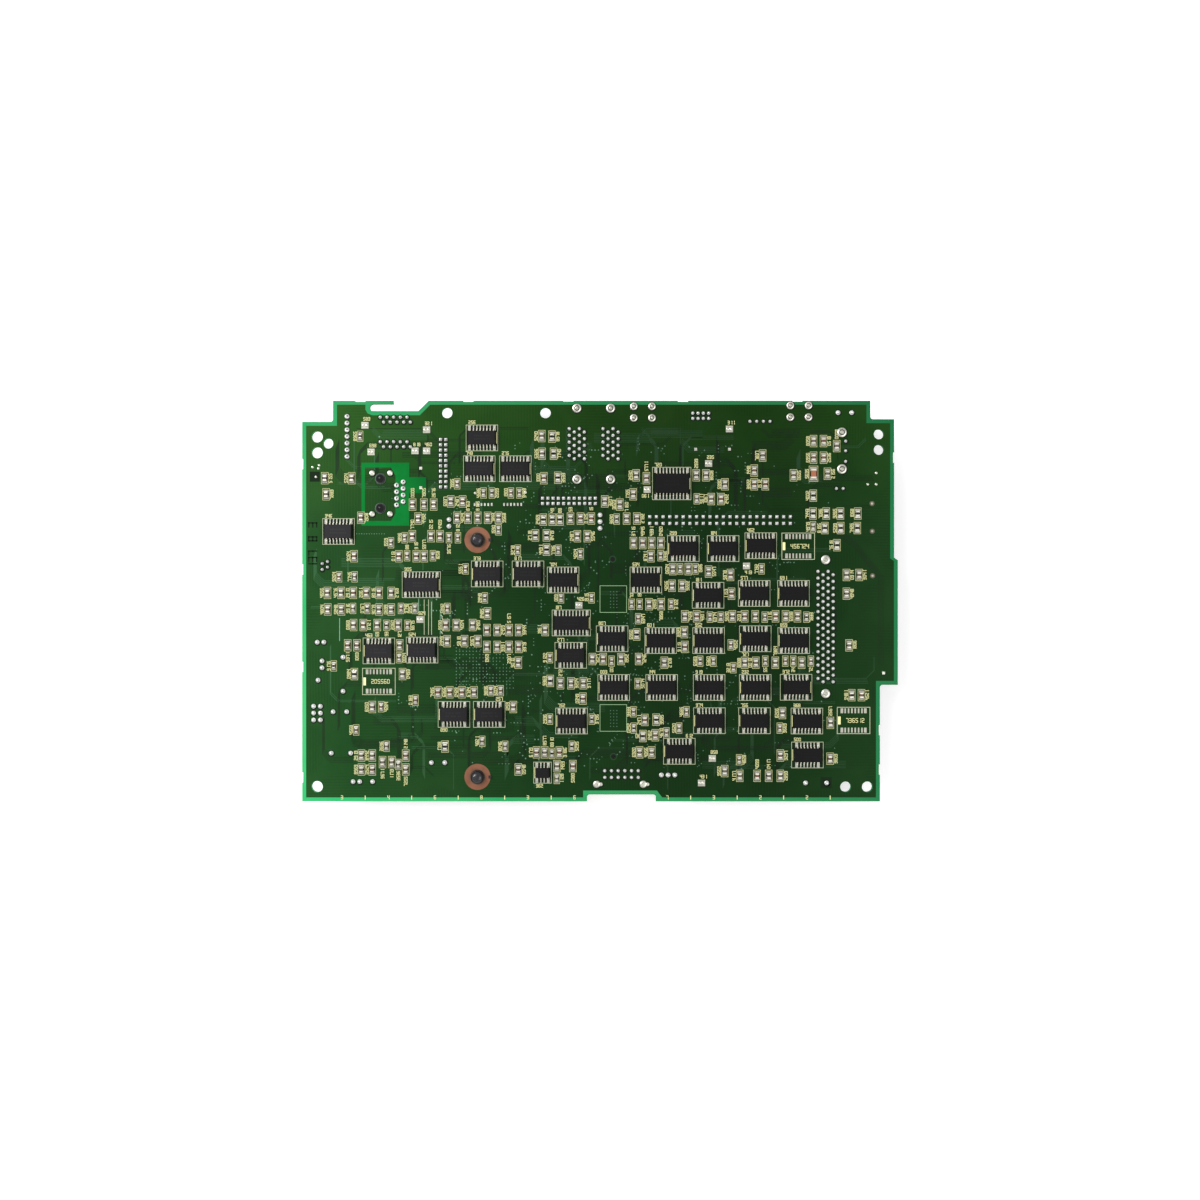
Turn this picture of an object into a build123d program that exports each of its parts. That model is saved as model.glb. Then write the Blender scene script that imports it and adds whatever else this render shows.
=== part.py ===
"""Main control board.

One multilayer circuit board. Small-outline logic, chip capacitors, chip resistors and soldered pin
tails are on its solder side, which faces up. The upright connectors, the processor and the power
parts are on its component side, which faces down.

Axes: X to the right and Y away from the viewer across the board, Z out of the solder side.
The origin is under the middle of the board, in the plane that the tallest parts stand on.
All sizes are millimetres.
"""
import os
from build123d import *

os.makedirs("parts", exist_ok=True)

# ------------------------------------------------------------------ driving sizes
BOARD_WIDTH = 226.0
BOARD_DEPTH = 152.0
BOARD_THICKNESS = 1.6
STAND_HEIGHT = 15.0            # from the standing plane to the component side of the board
CORNER_RADIUS = 1.0            # left by the router in each inside corner

UNDERSIDE = STAND_HEIGHT                       # component side of the board
TOP = STAND_HEIGHT + BOARD_THICKNESS           # solder side of the board
HALF_WIDTH = BOARD_WIDTH / 2
HALF_DEPTH = BOARD_DEPTH / 2

LEAD_PITCH = 1.27
LEAD_WIDTH = 0.42
LEAD_FOOT = 0.70               # part of a lead that lies on its pad
PACKAGE_GAP = 0.10             # air under a small-outline body
MOULD_LINE = 1.00              # height of the leads and the mould parting line over the board
DRAFT = 8.0                    # degrees of draft on moulded bodies

TAIL_HEIGHT = 1.5              # how far a soldered pin tail stands out of the solder side
TAIL_WIDTH = 1.3               # foot of its solder cone

# Small-outline packages: body length, body width, span over the leads, body top over the board
PACKAGES = {
    4: (4.9, 3.9, 6.0, 1.6),
    7: (10.2, 5.3, 7.8, 1.9),
    8: (10.2, 5.3, 7.8, 1.9),
    10: (12.7, 5.3, 7.8, 1.9),
    "wide": (12.8, 7.5, 10.3, 2.4),
}

# ------------------------------------------------------------------ where the parts sit
# Small-outline packages as rows: leads on each side, Y of the row, X of each package
PACKAGE_ROWS = (
    (8, 61.9, (-44.8,)),
    (8, 50.2, (-45.8, -32.1)),
    (8, 26.4, (-99.2,)),
    (8, 21.0, (61.0,)),
    (8, 8.0, (-14.0, 17.4)),
    (8, 2.9, (58.5, 73.4)),
    (8, -18.6, (-67.5,)),
    (8, -15.0, (23.0, 41.2, 73.5)),
    (8, -32.8, (5.2, 23.4, 41.4, 58.9)),
    (8, -45.5, (-10.8, 78.5)),
    (7, 19.9, (31.6, 46.7)),
    (7, 10.3, (-42.8, -27.3)),
    (7, 2.2, (41.0,)),
    (7, -18.9, (-83.9,)),
    (7, -20.6, (-11.1,)),
    (7, -14.3, (4.6, 58.9)),
    (7, -32.7, (74.4,)),
    (7, -43.0, (-55.4, -42.0)),
    (7, -45.4, (41.5, 58.6)),
    (7, -57.0, (30.1,)),
    (7, -58.4, (78.7,)),
    (10, 6.2, (-67.8,)),
    (10, -8.3, (-10.9,)),
    ("wide", 44.6, (27.2,)),
    (4, -65.1, (-21.8,)),
)

# Chip parts as rows: Y of the row, X of each part. All of them lie along Y.
CAPACITOR_SIZE = (1.25, 2.0, 0.9)
CAPACITOR_ROWS = (
    (62.6, (-22.1,)), (60.7, (81.0, 84.8)), (58.8, (89.8,)), (55.9, (-22.0,)), (55.2, (61.7,)),
    (54.4, (81.0, 84.8)), (49.5, (58.5,)), (47.7, (13.7, 36.5, 40.2, 73.4)), (48.3, (86.3,)),
    (46.6, (-104.4, -94.2, -21.3, 17.6)), (44.3, (47.4, 58.5, 62.7)), (40.5, (-103.9, 12.6)),
    (38.7, (42.2, 45.9)), (37.8, (-56.6, -52.1, 1.8)), (36.6, (-71.1, -66.8, -63.1, 7.5)),
    (31.6, (-90.7, -54.2, -50.1, -46.4, -42.6, -38.5)),
    (31.3, (-69.0, -11.2, -7.4, -3.3, 10.1, 14.0)),
    (24.6, (-71.2, -64.1, -60.7, -8.6, -4.8)), (22.0, (12.7, 16.2, 19.6, 23.1)),
    (17.0, (-93.3, -76.3, -69.7, -66.7, 19.3)), (12.1, (27.6, 33.5)), (11.2, (41.2,)),
    (9.9, (49.5, 93.5, 98.3)), (5.8, (27.3, 31.1)),
    (3.1, (-103.4, -98.2, -93.6, -88.6, -83.8, -79.2)), (2.8, (49.9, 93.5)),
    (-1.2, (18.6, 23.2)), (-3.2, (-103.3, -98.1, -83.8, -79.2)), (-4.7, (-42.7,)),
    (-5.8, (32.2, 36.7, 50.2, 54.9, 58.9, 66.6, 70.4, 74.9)),
    (-9.1, (-93.5, -89.8, -84.5, -76.6, -58.5, -54.5, -48.3)),
    (-11.0, (-42.9, -39.0, -34.5, -30.8, -20.8)), (-11.8, (32.0,)),
    (-15.2, (-58.0, -51.4, -46.4)), (-16.8, (-95.7, -92.2, -76.0, 94.5)),
    (-17.4, (-42.9, -39.0, -34.5, -30.8, 32.2)), (-22.0, (-2.9, 1.2, 8.0, 14.7)),
    (-23.4, (-31.0, 24.4, 54.9, 59.1, 66.5, 76.5)), (-27.7, (-74.9,)),
    (-31.2, (-15.0, -11.0, -6.3)), (-34.6, (-61.5, -57.0, -52.4, -47.8)), (-35.7, (99.2,)),
    (-37.0, (-6.5,)), (-40.2, (-86.4, -32.9)), (-42.5, (69.2,)), (-45.1, (17.0,)),
    (-46.2, (87.4,)), (-50.9, (21.0,)), (-57.4, (-24.1, -21.0, -15.4, 15.0, 19.6)),
    (-58.6, (-90.5, -86.4, -73.7, 68.4)), (-59.8, (87.3,)), (-61.1, (-82.5, -79.0)),
    (-62.6, (-16.3, -10.3)), (-63.9, (-90.5, -86.4, -73.7, -31.0)), (-64.5, (47.3,)),
    (-66.3, (53.0, 59.6, 64.0, 68.4)),
)

RESISTOR_SIZE = (1.25, 2.0, 0.55)
RESISTOR_ROWS = (
    (62.4, (-18.2,)), (55.9, (-17.6,)), (46.8, (-16.0,)), (40.0, (80.9,)),
    (33.2, (80.8, 85.8, 91.2, 97.8)), (30.9, (-21.5, -18.1, -15.2)), (27.7, (85.3, 91.3, 97.6)),
    (24.9, (-24.5, -20.3)), (21.2, (89.9,)), (19.5, (-20.3,)), (-12.7, (13.9,)),
    (-27.7, (-93.2,)), (-30.3, (-18.9,)), (-35.7, (95.5,)), (-45.0, (21.3,)), (-51.2, (16.3,)),
    (-55.2, (-58.8,)),
)

SMALL_CHIP_SIZE = (0.8, 1.6, 0.7)
SMALL_CHIP_ROWS = (
    (62.5, (-91.0,)), (44.5, (-54.2,)), (41.0, (-44.2, -41.0, -33.8, -30.6)), (38.8, (36.7,)),
    (31.1, (6.3,)), (28.2, (80.8,)), (27.0, (-38.5,)), (24.0, (-74.1, -57.3, -53.9)),
    (22.1, (-79.3,)), (19.3, (-31.2, -15.8)), (17.9, (-7.4,)),
    (17.2, (-73.2, -63.4, 23.0)), (12.2, (-51.0, 30.4, 36.2, 61.3)), (9.2, (-99.0, -93.1)),
    (1.2, (-43.7, -14.8, -3.2)), (-1.2, (12.0, 15.0, 27.0)),
    (-2.8, (-93.7, -88.3, -75.5, -70.2, -57.9)), (-6.1, (41.7, 45.8, 62.5, 78.3)),
    (-6.7, (14.5,)), (-9.2, (-81.0, -73.0)), (-16.6, (49.6,)), (-21.5, (-76.2, -19.0)),
    (-22.8, (4.4, 38.0, 43.0, 62.7, 70.3, 73.3, 80.0)), (-24.6, (-101.0,)), (-25.3, (50.6,)),
    (-31.3, (14.3,)), (-34.0, (-41.4, -37.7)), (-37.6, (-70.0,)), (-40.1, (-83.0,)),
    (-42.0, (12.7, 32.8)), (-44.8, (-19.0, -3.1)), (-48.2, (12.8, 30.0, 68.2)),
    (-48.9, (-92.5,)), (-50.0, (25.2,)), (-53.2, (-44.7,)), (-55.1, (-81.0, -36.0, -10.7)),
    (-57.8, (-18.2,)), (-60.2, (52.8,)), (-62.0, (-76.5,)), (-67.3, (-16.4,)),
)

LARGE_CHIP_SIZE = (2.0, 3.5, 0.8)
LARGE_CHIP_ROWS = ((48.3, (81.0,)),)

# Holes through the board that stay open: X, Y, radius
MOUNTING_HOLES = (
    (-107.3, 62.3, 2.1), (-103.1, 59.8, 1.9), (-107.3, 56.3, 2.1), (-107.3, -70.4, 2.1),
    (-58.0, 71.4, 2.0), (-20.7, 71.4, 2.0), (105.8, 63.3, 1.9), (105.8, 57.4, 1.9),
    (93.2, -70.5, 2.0), (101.4, -70.5, 2.0),
)

# Scars of the break-off tabs in the board edge: X, Y, and which way the edge runs
TAB_SCARS = (
    (-91.0, 76.0, "x"), (-50.0, 76.0, "x"), (-12.0, 76.0, "x"), (31.5, 76.0, "x"),
    (75.0, 76.0, "x"), (-113.0, 52.0, "y"), (-113.0, 12.0, "y"), (-113.0, -25.0, "y"),
    (-113.0, -67.0, "y"), (111.6, 54.5, "y"), (106.2, -49.0, "y"), (106.2, -64.0, "y"),
)
TAB_WIDTH = 4.0
TAB_DEPTH = 0.4

# Upright half-pitch connectors: X and Y of the middle, contacts in each of four rows
PORT_SITES = ((-8.8, 59.7, 5), (4.0, 59.7, 5))
EXPANSION_SITE = (85.6, -9.7, 17)
PORT_ROW_STEP = 1.92
PORT_BODY = 10.2               # size across the rows
PORT_PEG = 1.0                 # radius of the board lock at each end

# Pin groups that are soldered from this side: X and Y of the first pin, columns, rows, pitch
SQUARE_GRIDS = {
    "bus_socket": (18.86, 29.46, 22, 2, 2.54),
    "display_header": (-21.8, 37.0, 11, 2, 2.0),
    "service_header": (-60.5, 43.3, 2, 10, 2.0),
    "wafer_seven": (-96.0, 54.8, 1, 7, 2.54),
    "wafer_four": (56.9, 68.2, 4, 1, 2.54),
    "wafer_three": (23.3, -66.0, 3, 1, 2.54),
    "wafer_eight": (35.2, 69.3, 4, 2, 2.0),
    "wafer_six": (-108.7, -45.1, 2, 3, 2.6),
    "jumper_three": (0.0, 27.6, 1, 3, 2.54),
    "jumper_two": (-57.3, 28.4, 1, 2, 2.54),
    "link_two": (89.7, 42.7, 2, 1, 2.54),
    "edge_socket": (1.8, -66.9, 6, 2, 2.54),
}
RIBBON_SITES = (68.85, 59.5)   # Y of the middle of each ten-way ribbon header
RIBBON_X = -83.4               # X of the first contact in the upper row

JACK_SITE = (-81.5, 40.8)      # middle of the upright modular jack
JACK_SIZE = (17.0, 15.9)
JACK_WALL = 0.3
PLUG_OPENING = (6.9, 11.8)     # cavity for the plug, across X and Y
PLUG_DEPTH = 12.0
LATCH_SLOT = (2.4, 6.2)
JACK_POST = 1.65
CARD_PEGS = ((4.8, 15.9), (5.1, -59.0))
CARD_PEG = 1.3                 # width of the card socket's two locating pegs

SPACER_SITES = ((-46.5, 23.2), (-46.5, -66.7))
SPACER_NECK = 2.3
SPACER_KEY = 4.8               # from the spacer to its anti-rotation peg
SPACER_PEG = 1.1               # width of that peg

CAN_SIDES = 20                 # the cans are cut with flats so that they stay light to draw
GROOVE_HEIGHT = 3.0            # from the board to the far edge of the groove in each can
GROOVE_WIDTH = 0.8
GROOVE_DEPTH = 0.4
CAN_SITES = ((-98.7, -42.0, 5.0, 12.5), (-61.4, -61.3, 5.0, 12.5))   # X, Y, radius, height
CHOKE_SITES = ((16.25, 71.7), (75.65, 72.0))
CHOKE_PINS = (6.9, 4.4)

# Single pins of the power parts on the component side
POWER_PINS = (
    (-101.3, -42.0), (-96.1, -42.0), (-64.0, -61.3), (-58.9, -61.3), (-102.0, -57.7),
    (-94.6, -57.7), (-93.7, -68.5), (-91.2, -68.5), (-86.3, -68.5), (-107.3, -15.6),
    (-104.8, -15.6), (-105.5, -22.7), (-105.5, -25.3), (-97.5, -21.3), (-97.5, -34.2),
    (-107.0, -30.0), (-105.4, 14.2), (-103.4, 15.0), (-105.4, 12.0), (-103.4, 12.9),
    (90.3, 71.5), (95.5, 71.5), (93.2, 60.7), (93.2, 57.0), (93.2, 53.0), (78.0, -69.0),
    (86.0, -69.0),
)


# ------------------------------------------------------------------ small helpers
def block(width, depth, bottom, height, x=0.0, y=0.0):
    """A plain box standing on the height `bottom`."""
    shape = Box(width, depth, height, align=(Align.CENTER, Align.CENTER, Align.MIN))
    return Pos(x, y, bottom) * shape


def write(name, solids):
    """Write one named piece, or one group of separate like pieces."""
    shape = solids[0] if len(solids) == 1 else Compound(children=list(solids))
    shape.label = name
    export_step(shape, f"parts/{name}.step")


def grid(first_x, first_y, columns, rows, pitch):
    """Positions of a rectangular pin pattern."""
    return [
        (first_x + pitch * column, first_y + pitch * row)
        for row in range(rows)
        for column in range(columns)
    ]


def staggered(x, y, per_row, row_step=PORT_ROW_STEP, pitch=2.54):
    """Contact positions of a half-pitch connector that stands along Y: four rows, staggered."""
    spots = []
    for row in range(4):
        shift = pitch / 4 if row % 2 == 0 else -pitch / 4
        for contact in range(per_row):
            along = (contact - (per_row - 1) / 2) * pitch
            spots.append((x + (row - 1.5) * row_step, y + along + shift))
    return spots


def jack_contacts():
    """Eight staggered tails of the modular jack."""
    x, y = JACK_SITE
    spots = []
    for contact in range(8):
        column = x + 4.3 if contact % 2 == 0 else x + 6.8
        spots.append((column, y + (contact - 3.5) * 1.25))
    return spots


def ribbon_contacts(middle_y):
    """Ten staggered tails of one ribbon header."""
    spots = []
    for contact in range(5):
        spots.append((RIBBON_X + 2.54 * contact, middle_y + 0.95))
        spots.append((RIBBON_X + 1.27 + 2.54 * contact, middle_y - 0.95))
    return spots


def port_half_length(per_row):
    """Half the length of a half-pitch connector, from its middle to its end."""
    return per_row * 2.54 / 2 + 9.9


def port_peg_offset(per_row):
    """Distance from the middle of a half-pitch connector to each board lock."""
    return 13.5 if per_row == 5 else 25.4


# ------------------------------------------------------------------ the bare board
def circuit_board():
    """The bare board: routed outline, slot, break-off scars and the holes that stay open."""
    left, right, front, back = -HALF_WIDTH, HALF_WIDTH, -HALF_DEPTH, HALF_DEPTH
    outline = [
        (left, front), (-4.9, front), (-4.9, -73.4), (21.2, -73.4), (21.2, front),
        (106.2, front), (106.2, -31.8), (right, -31.8), (right, 15.5), (111.6, 16.5),
        (111.6, 69.0), (102.6, 69.0), (102.6, back), (-65.0, back), (-69.0, 72.0),
        (-78.4, 72.0), (-78.4, back), (-101.3, back), (-101.3, 68.0), (left, 68.0),
    ]
    face = make_face(Polyline(*outline, close=True))
    inside = [(-4.9, -73.4), (21.2, -73.4), (106.2, -31.8), (102.6, 69.0), (-101.3, 68.0)]
    corners = [
        corner
        for corner in face.vertices()
        if any(abs(corner.X - x) < 0.01 and abs(corner.Y - y) < 0.01 for x, y in inside)
    ]
    face = fillet(corners, CORNER_RADIUS)
    cuts = [Pos(-82.2, 73.35) * Rectangle(7.6, 2.7), Pos(-86.0, 73.35) * Circle(1.35)]
    for x, y, way in TAB_SCARS:
        along, across = TAB_WIDTH, 2 * TAB_DEPTH
        size = (along, across) if way == "x" else (across, along)
        cuts.append(Pos(x, y) * Rectangle(*size))
    for x, y, radius in MOUNTING_HOLES:
        cuts.append(Pos(x, y) * Circle(radius))
    for x, y in CARD_PEGS:
        cuts.append(Pos(x, y) * Rectangle(CARD_PEG, CARD_PEG))
    for x, y in SPACER_SITES:
        cuts.append(Pos(x, y) * RegularPolygon(SPACER_NECK, 12))
        cuts.append(Pos(x + SPACER_KEY, y) * Rectangle(SPACER_PEG, SPACER_PEG))
    for side in (-1, 1):
        cuts.append(Pos(JACK_SITE[0] - 1.8, JACK_SITE[1] + side * 5.6) * RegularPolygon(JACK_POST, 12))
    face = face - cuts
    return Pos(0, 0, UNDERSIDE) * extrude(face, BOARD_THICKNESS)


# ------------------------------------------------------------------ solder side
def package_body(leads):
    """Moulded body of a small-outline package, drafted both ways from its mould line."""
    length, width, _, height = PACKAGES[leads]
    upper = extrude(Rectangle(length, width), height - MOULD_LINE, taper=DRAFT)
    lower = extrude(Rectangle(length, width), PACKAGE_GAP - MOULD_LINE, taper=DRAFT)
    return Pos(0, 0, TOP + MOULD_LINE) * (upper + lower)


def package_lead(leads):
    """One lead of a package: a wedge from the mould line to its foot on the pad, along +Y."""
    _, width, span, _ = PACKAGES[leads]
    profile = make_face(
        Polyline(
            (width / 2, MOULD_LINE),
            (span / 2, 0.0),
            (span / 2 - LEAD_FOOT, 0.0),
            close=True,
        )
    )
    upright = Plane.YZ * profile
    return Pos(0, 0, TOP) * extrude(upright, LEAD_WIDTH / 2, both=True)


def packages_and_leads():
    """Every small-outline body by name, and all of their leads as one group."""
    bodies, leads = {}, []
    shapes = {kind: (package_body(kind), package_lead(kind)) for kind in PACKAGES}
    for kind, y, columns in PACKAGE_ROWS:
        body, lead = shapes[kind]
        per_side = 10 if kind == "wide" else kind
        for x in columns:
            bodies[f"logic_chip_{len(bodies) + 1:02d}"] = Pos(x, y, 0) * body
            for index in range(per_side):
                offset = (index - (per_side - 1) / 2) * LEAD_PITCH
                leads.append(Pos(x + offset, y, 0) * lead)
                leads.append(Pos(x + offset, y, 0) * Rot(0, 0, 180) * lead)
    return bodies, leads


def chips(size, rows):
    """Chip parts of one size, lying along Y on the solder side."""
    return [block(*size[:2], TOP, size[2], x, y) for y, columns in rows for x in columns]


def pin_tails():
    """The soldered ends of every pin, each a four-sided cone of solder on the solder side."""
    spots = jack_contacts()
    for x, y, per_row in [*PORT_SITES, EXPANSION_SITE]:
        spots += staggered(x, y, per_row)
    for pattern in SQUARE_GRIDS.values():
        spots += grid(*pattern)
    for y in RIBBON_SITES:
        spots += ribbon_contacts(y)
    spots += POWER_PINS
    half = TAIL_WIDTH / 2
    wedge = Wedge(TAIL_WIDTH, TAIL_HEIGHT, TAIL_WIDTH, half, half, half, half)
    stub = Pos(0, 0, TAIL_HEIGHT / 2) * Rot(90, 0, 0) * wedge
    return [Pos(x, y, TOP) * stub for x, y in spots]


def lock_pegs():
    """The wider soldered ends of board locks, shield tabs and choke pins."""
    pegs = []
    for x, y, per_row in [*PORT_SITES, EXPANSION_SITE]:
        for side in (-1, 1):
            pegs.append((x, y + side * port_peg_offset(per_row), 0.95))
    for x, y in CHOKE_SITES:
        for across in (-1, 1):
            for along in (-1, 1):
                pegs.append((x + across * CHOKE_PINS[0] / 2, y + along * CHOKE_PINS[1] / 2, 0.8))
    x, y = JACK_SITE
    for column in (x - 5.0, x + 1.8):
        for side in (-1, 1):
            pegs.append((column, y + side * 7.75, 0.6))
    pegs += [(91.8, 64.0, 1.0), (91.8, 50.1, 1.0)]
    for x in (-1.3, 0.3, 16.4, 18.0):
        pegs.append((x, -69.5, 0.55))
    shape = {
        radius: extrude(RegularPolygon(radius, 6), 0.9, taper=10)
        for radius in (0.55, 0.6, 0.8, 0.95, 1.0)
    }
    return [Pos(x, y, TOP) * shape[radius] for x, y, radius in pegs]


# ------------------------------------------------------------------ component side
def spacer(x, y):
    """Snap-in spacer: barbed head over the board, key peg, flange and column under it."""
    neck = extrude(RegularPolygon(SPACER_NECK, 12), BOARD_THICKNESS)
    barb = extrude(RegularPolygon(2.7, 12), 1.2, taper=6)
    tip = extrude(RegularPolygon(2.55, 12), 1.9, taper=38)
    kerf = block(0.7, 8.0, 1.2, 4.0)
    head = barb + Pos(0, 0, 1.2) * tip - kerf
    foot = extrude(RegularPolygon(4.4, 12), 1.2)
    column = extrude(RegularPolygon(3.2, 6), STAND_HEIGHT - 1.2)
    ear = block(2.0, 1.8, UNDERSIDE - 1.2, 1.2, SPACER_KEY - 0.4)
    key = block(SPACER_PEG, SPACER_PEG, UNDERSIDE - 1.2, BOARD_THICKNESS + 1.7, SPACER_KEY)
    body = column + Pos(0, 0, UNDERSIDE - 1.2) * foot + ear + key
    body += Pos(0, 0, UNDERSIDE) * neck + Pos(0, 0, TOP) * head
    return Pos(x, y, 0) * body


def network_jack():
    """Upright modular jack: folded shield, and the moulded body inside it. The mouth faces down."""
    x, y = JACK_SITE
    width, depth = JACK_SIZE
    outer = block(width, depth, 0.0, STAND_HEIGHT)
    inner = block(width - 2 * JACK_WALL, depth - 2 * JACK_WALL, JACK_WALL, STAND_HEIGHT)
    plug = block(*PLUG_OPENING, -1.0, PLUG_DEPTH + 1.0, -1.2, 0)
    latch_x = -1.2 - PLUG_OPENING[0] / 2 - LATCH_SLOT[0] / 2
    latch = block(*LATCH_SLOT, -1.0, PLUG_DEPTH + 1.0, latch_x, 0)
    shield = outer - inner - plug - latch
    core_size = (width - 2 * JACK_WALL, depth - 2 * JACK_WALL)
    core = block(*core_size, JACK_WALL, STAND_HEIGHT - JACK_WALL) - plug - latch
    for side in (-1, 1):
        stem = extrude(RegularPolygon(JACK_POST, 12), BOARD_THICKNESS + 0.7)
        core += Pos(-1.8, side * 5.6, UNDERSIDE) * stem
    return Pos(x, y, 0) * shield, Pos(x, y, 0) * core


def half_pitch_port(x, y, per_row):
    """Upright half-pitch receptacle: flanged base, and a shrouded tongue block that faces down."""
    half = port_half_length(per_row)
    base = block(PORT_BODY, 2 * half, STAND_HEIGHT - 6.0, 6.0)
    nose_half = per_row * 2.54 / 2 + 5.0
    nose_outline = make_face(
        Polyline(
            (-3.6, -nose_half), (2.4, -nose_half), (3.6, -nose_half + 2.2),
            (3.6, nose_half - 2.2), (2.4, nose_half), (-3.6, nose_half), close=True,
        )
    )
    nose = extrude(nose_outline, STAND_HEIGHT - 6.0)
    slot = block(1.8, 2 * nose_half - 5.0, -1.0, 6.5)
    body = base + nose - slot
    for side in (-1, 1):
        body -= block(3.2, 3.2, STAND_HEIGHT - 7.0, 3.0, 0, side * (half - 2.6))
    return Pos(x, y, 0) * body


def socket_strip(pattern, height, margin, hole):
    """Socket strip: a block on the component side with one square hole for each contact."""
    first_x, first_y, columns, rows, pitch = pattern
    middle_x = first_x + pitch * (columns - 1) / 2
    middle_y = first_y + pitch * (rows - 1) / 2
    length = pitch * (columns - 1) + 2 * margin
    depth = pitch * (rows - 1) + 2 * margin
    bottom = UNDERSIDE - height
    face = Pos(middle_x, middle_y) * Rectangle(length, depth)
    holes = [Pos(px, py) * Rectangle(hole, hole) for px, py in grid(*pattern)]
    front = Pos(0, 0, bottom) * extrude(face - holes, height * 0.7)
    rear = block(length, depth, bottom + height * 0.7, height * 0.3, middle_x, middle_y)
    return front + rear


def plain_header(pattern, height=2.5, pin_length=6.0):
    """Pin header: a low moulded base with square pins, which point down."""
    first_x, first_y, columns, rows, pitch = pattern
    middle_x = first_x + pitch * (columns - 1) / 2
    middle_y = first_y + pitch * (rows - 1) / 2
    length = pitch * columns
    depth = pitch * rows
    bottom = UNDERSIDE - height
    body = block(length, depth, bottom, height, middle_x, middle_y)
    pins = [block(0.5, 0.5, bottom - pin_length, pin_length, px, py) for px, py in grid(*pattern)]
    return body.fuse(*pins)


def ribbon_header(middle_y):
    """Low ten-way ribbon header in a plain block."""
    x = RIBBON_X + (4 * 2.54 + 1.27) / 2
    body = block(16.0, 5.2, UNDERSIDE - 7.0, 7.0, x, middle_y)
    slot = block(12.6, 1.4, UNDERSIDE - 8.0, 5.0, x, middle_y)
    key_way = block(2.4, 2.0, UNDERSIDE - 8.0, 5.0, x, middle_y - 1.7)
    return body - slot - key_way


def edge_socket():
    """Right-angle twelve-way socket whose mouth is at the notch in the front edge."""
    x, y = 8.15, -67.6
    body = block(23.5, 11.4, UNDERSIDE - 11.0, 11.0, x, y)
    holes = []
    for column in range(6):
        for row in range(2):
            across = x + (column - 2.5) * 2.54
            holes.append(Pos(across, -72.0, UNDERSIDE - 7.6 + 2.54 * row) * Box(1.0, 9.0, 1.0))
    return body - holes


def choke(x, y):
    """Common-mode choke: wound block on a four-pin base."""
    base = block(11.0, 7.8, UNDERSIDE - 2.0, 2.0, x, y)
    core = block(9.4, 7.4, UNDERSIDE - 9.0, 7.0, x, y)
    waist = block(5.0, 7.8, UNDERSIDE - 8.2, 5.0, x, y)
    return base + core + waist


def can_capacitor(x, y, radius, height):
    """Upright electrolytic capacitor: a can with a rolled groove over its seal."""
    bottom = UNDERSIDE - height
    can = Pos(0, 0, bottom) * extrude(RegularPolygon(radius, CAN_SIDES), height - GROOVE_HEIGHT)
    groove_bottom = UNDERSIDE - GROOVE_HEIGHT
    inset = radius - GROOVE_DEPTH
    can += Pos(0, 0, groove_bottom) * extrude(RegularPolygon(inset, CAN_SIDES), GROOVE_WIDTH)
    seal_bottom = groove_bottom + GROOVE_WIDTH
    seal_height = GROOVE_HEIGHT - GROOVE_WIDTH
    can += Pos(0, 0, seal_bottom) * extrude(RegularPolygon(radius, CAN_SIDES), seal_height)
    return Pos(x, y, 0) * can


def moulded(width, depth, height, x, y):
    """A drafted moulded part that hangs under the board."""
    shape = extrude(Rectangle(width, depth), -height, taper=4)
    return Pos(x, y, UNDERSIDE) * shape


def card_connector():
    """Long surface-mounted card socket with a mating groove, on two locating pegs."""
    middle_y = (15.9 - 59.0) / 2
    body = block(6.4, 79.0, UNDERSIDE - 7.5, 7.5, 4.95, middle_y)
    body -= block(1.8, 72.0, UNDERSIDE - 8.0, 5.5, 4.95, middle_y)
    for x, y in CARD_PEGS:
        body += block(CARD_PEG, CARD_PEG, UNDERSIDE - 1.0, BOARD_THICKNESS + 0.6, x, y)
    return body


def optical_link():
    """Fibre-optic link module with two ferrule ports, which face down."""
    body = block(12.0, 19.0, UNDERSIDE - 10.0, 10.0, 92.6, 57.05)
    port = extrude(RegularPolygon(1.4, 12), 7.0)
    for y in (52.6, 61.5):
        body -= Pos(92.6, y, UNDERSIDE - 11.0) * port
    return body


def power_terminal():
    """Two-way power wafer: a base with an upright locking wall and two pins."""
    body = block(11.0, 5.6, UNDERSIDE - 3.0, 3.0, 92.9, 71.4)
    body += block(11.0, 1.0, UNDERSIDE - 9.0, 6.0, 92.9, 73.7)
    for x in (90.3, 95.5):
        body += block(1.0, 1.0, UNDERSIDE - 9.0, 6.0, x, 71.5)
    return body


# ------------------------------------------------------------------ write every piece
write("circuit_board", [circuit_board()])

bodies, leads = packages_and_leads()
for name, body in bodies.items():
    write(name, [body])
write("chip_leads", leads)

capacitors = chips(CAPACITOR_SIZE, CAPACITOR_ROWS) + chips(LARGE_CHIP_SIZE, LARGE_CHIP_ROWS)
write("chip_capacitors", capacitors)
write("chip_resistors", chips(RESISTOR_SIZE, RESISTOR_ROWS))
write("small_chips", chips(SMALL_CHIP_SIZE, SMALL_CHIP_ROWS))
write("pin_tails", pin_tails() + lock_pegs())

jack_shield, jack_body = network_jack()
write("network_jack_shield", [jack_shield])
write("network_jack_body", [jack_body])
write("io_connectors", [half_pitch_port(*site) for site in PORT_SITES])
write("expansion_connector", [half_pitch_port(*EXPANSION_SITE)])
write("bus_socket", [socket_strip(SQUARE_GRIDS["bus_socket"], 8.5, 1.6, 0.9)])
write("display_header", [socket_strip(SQUARE_GRIDS["display_header"], 6.0, 1.2, 0.7)])
write("edge_socket", [edge_socket()])

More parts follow.
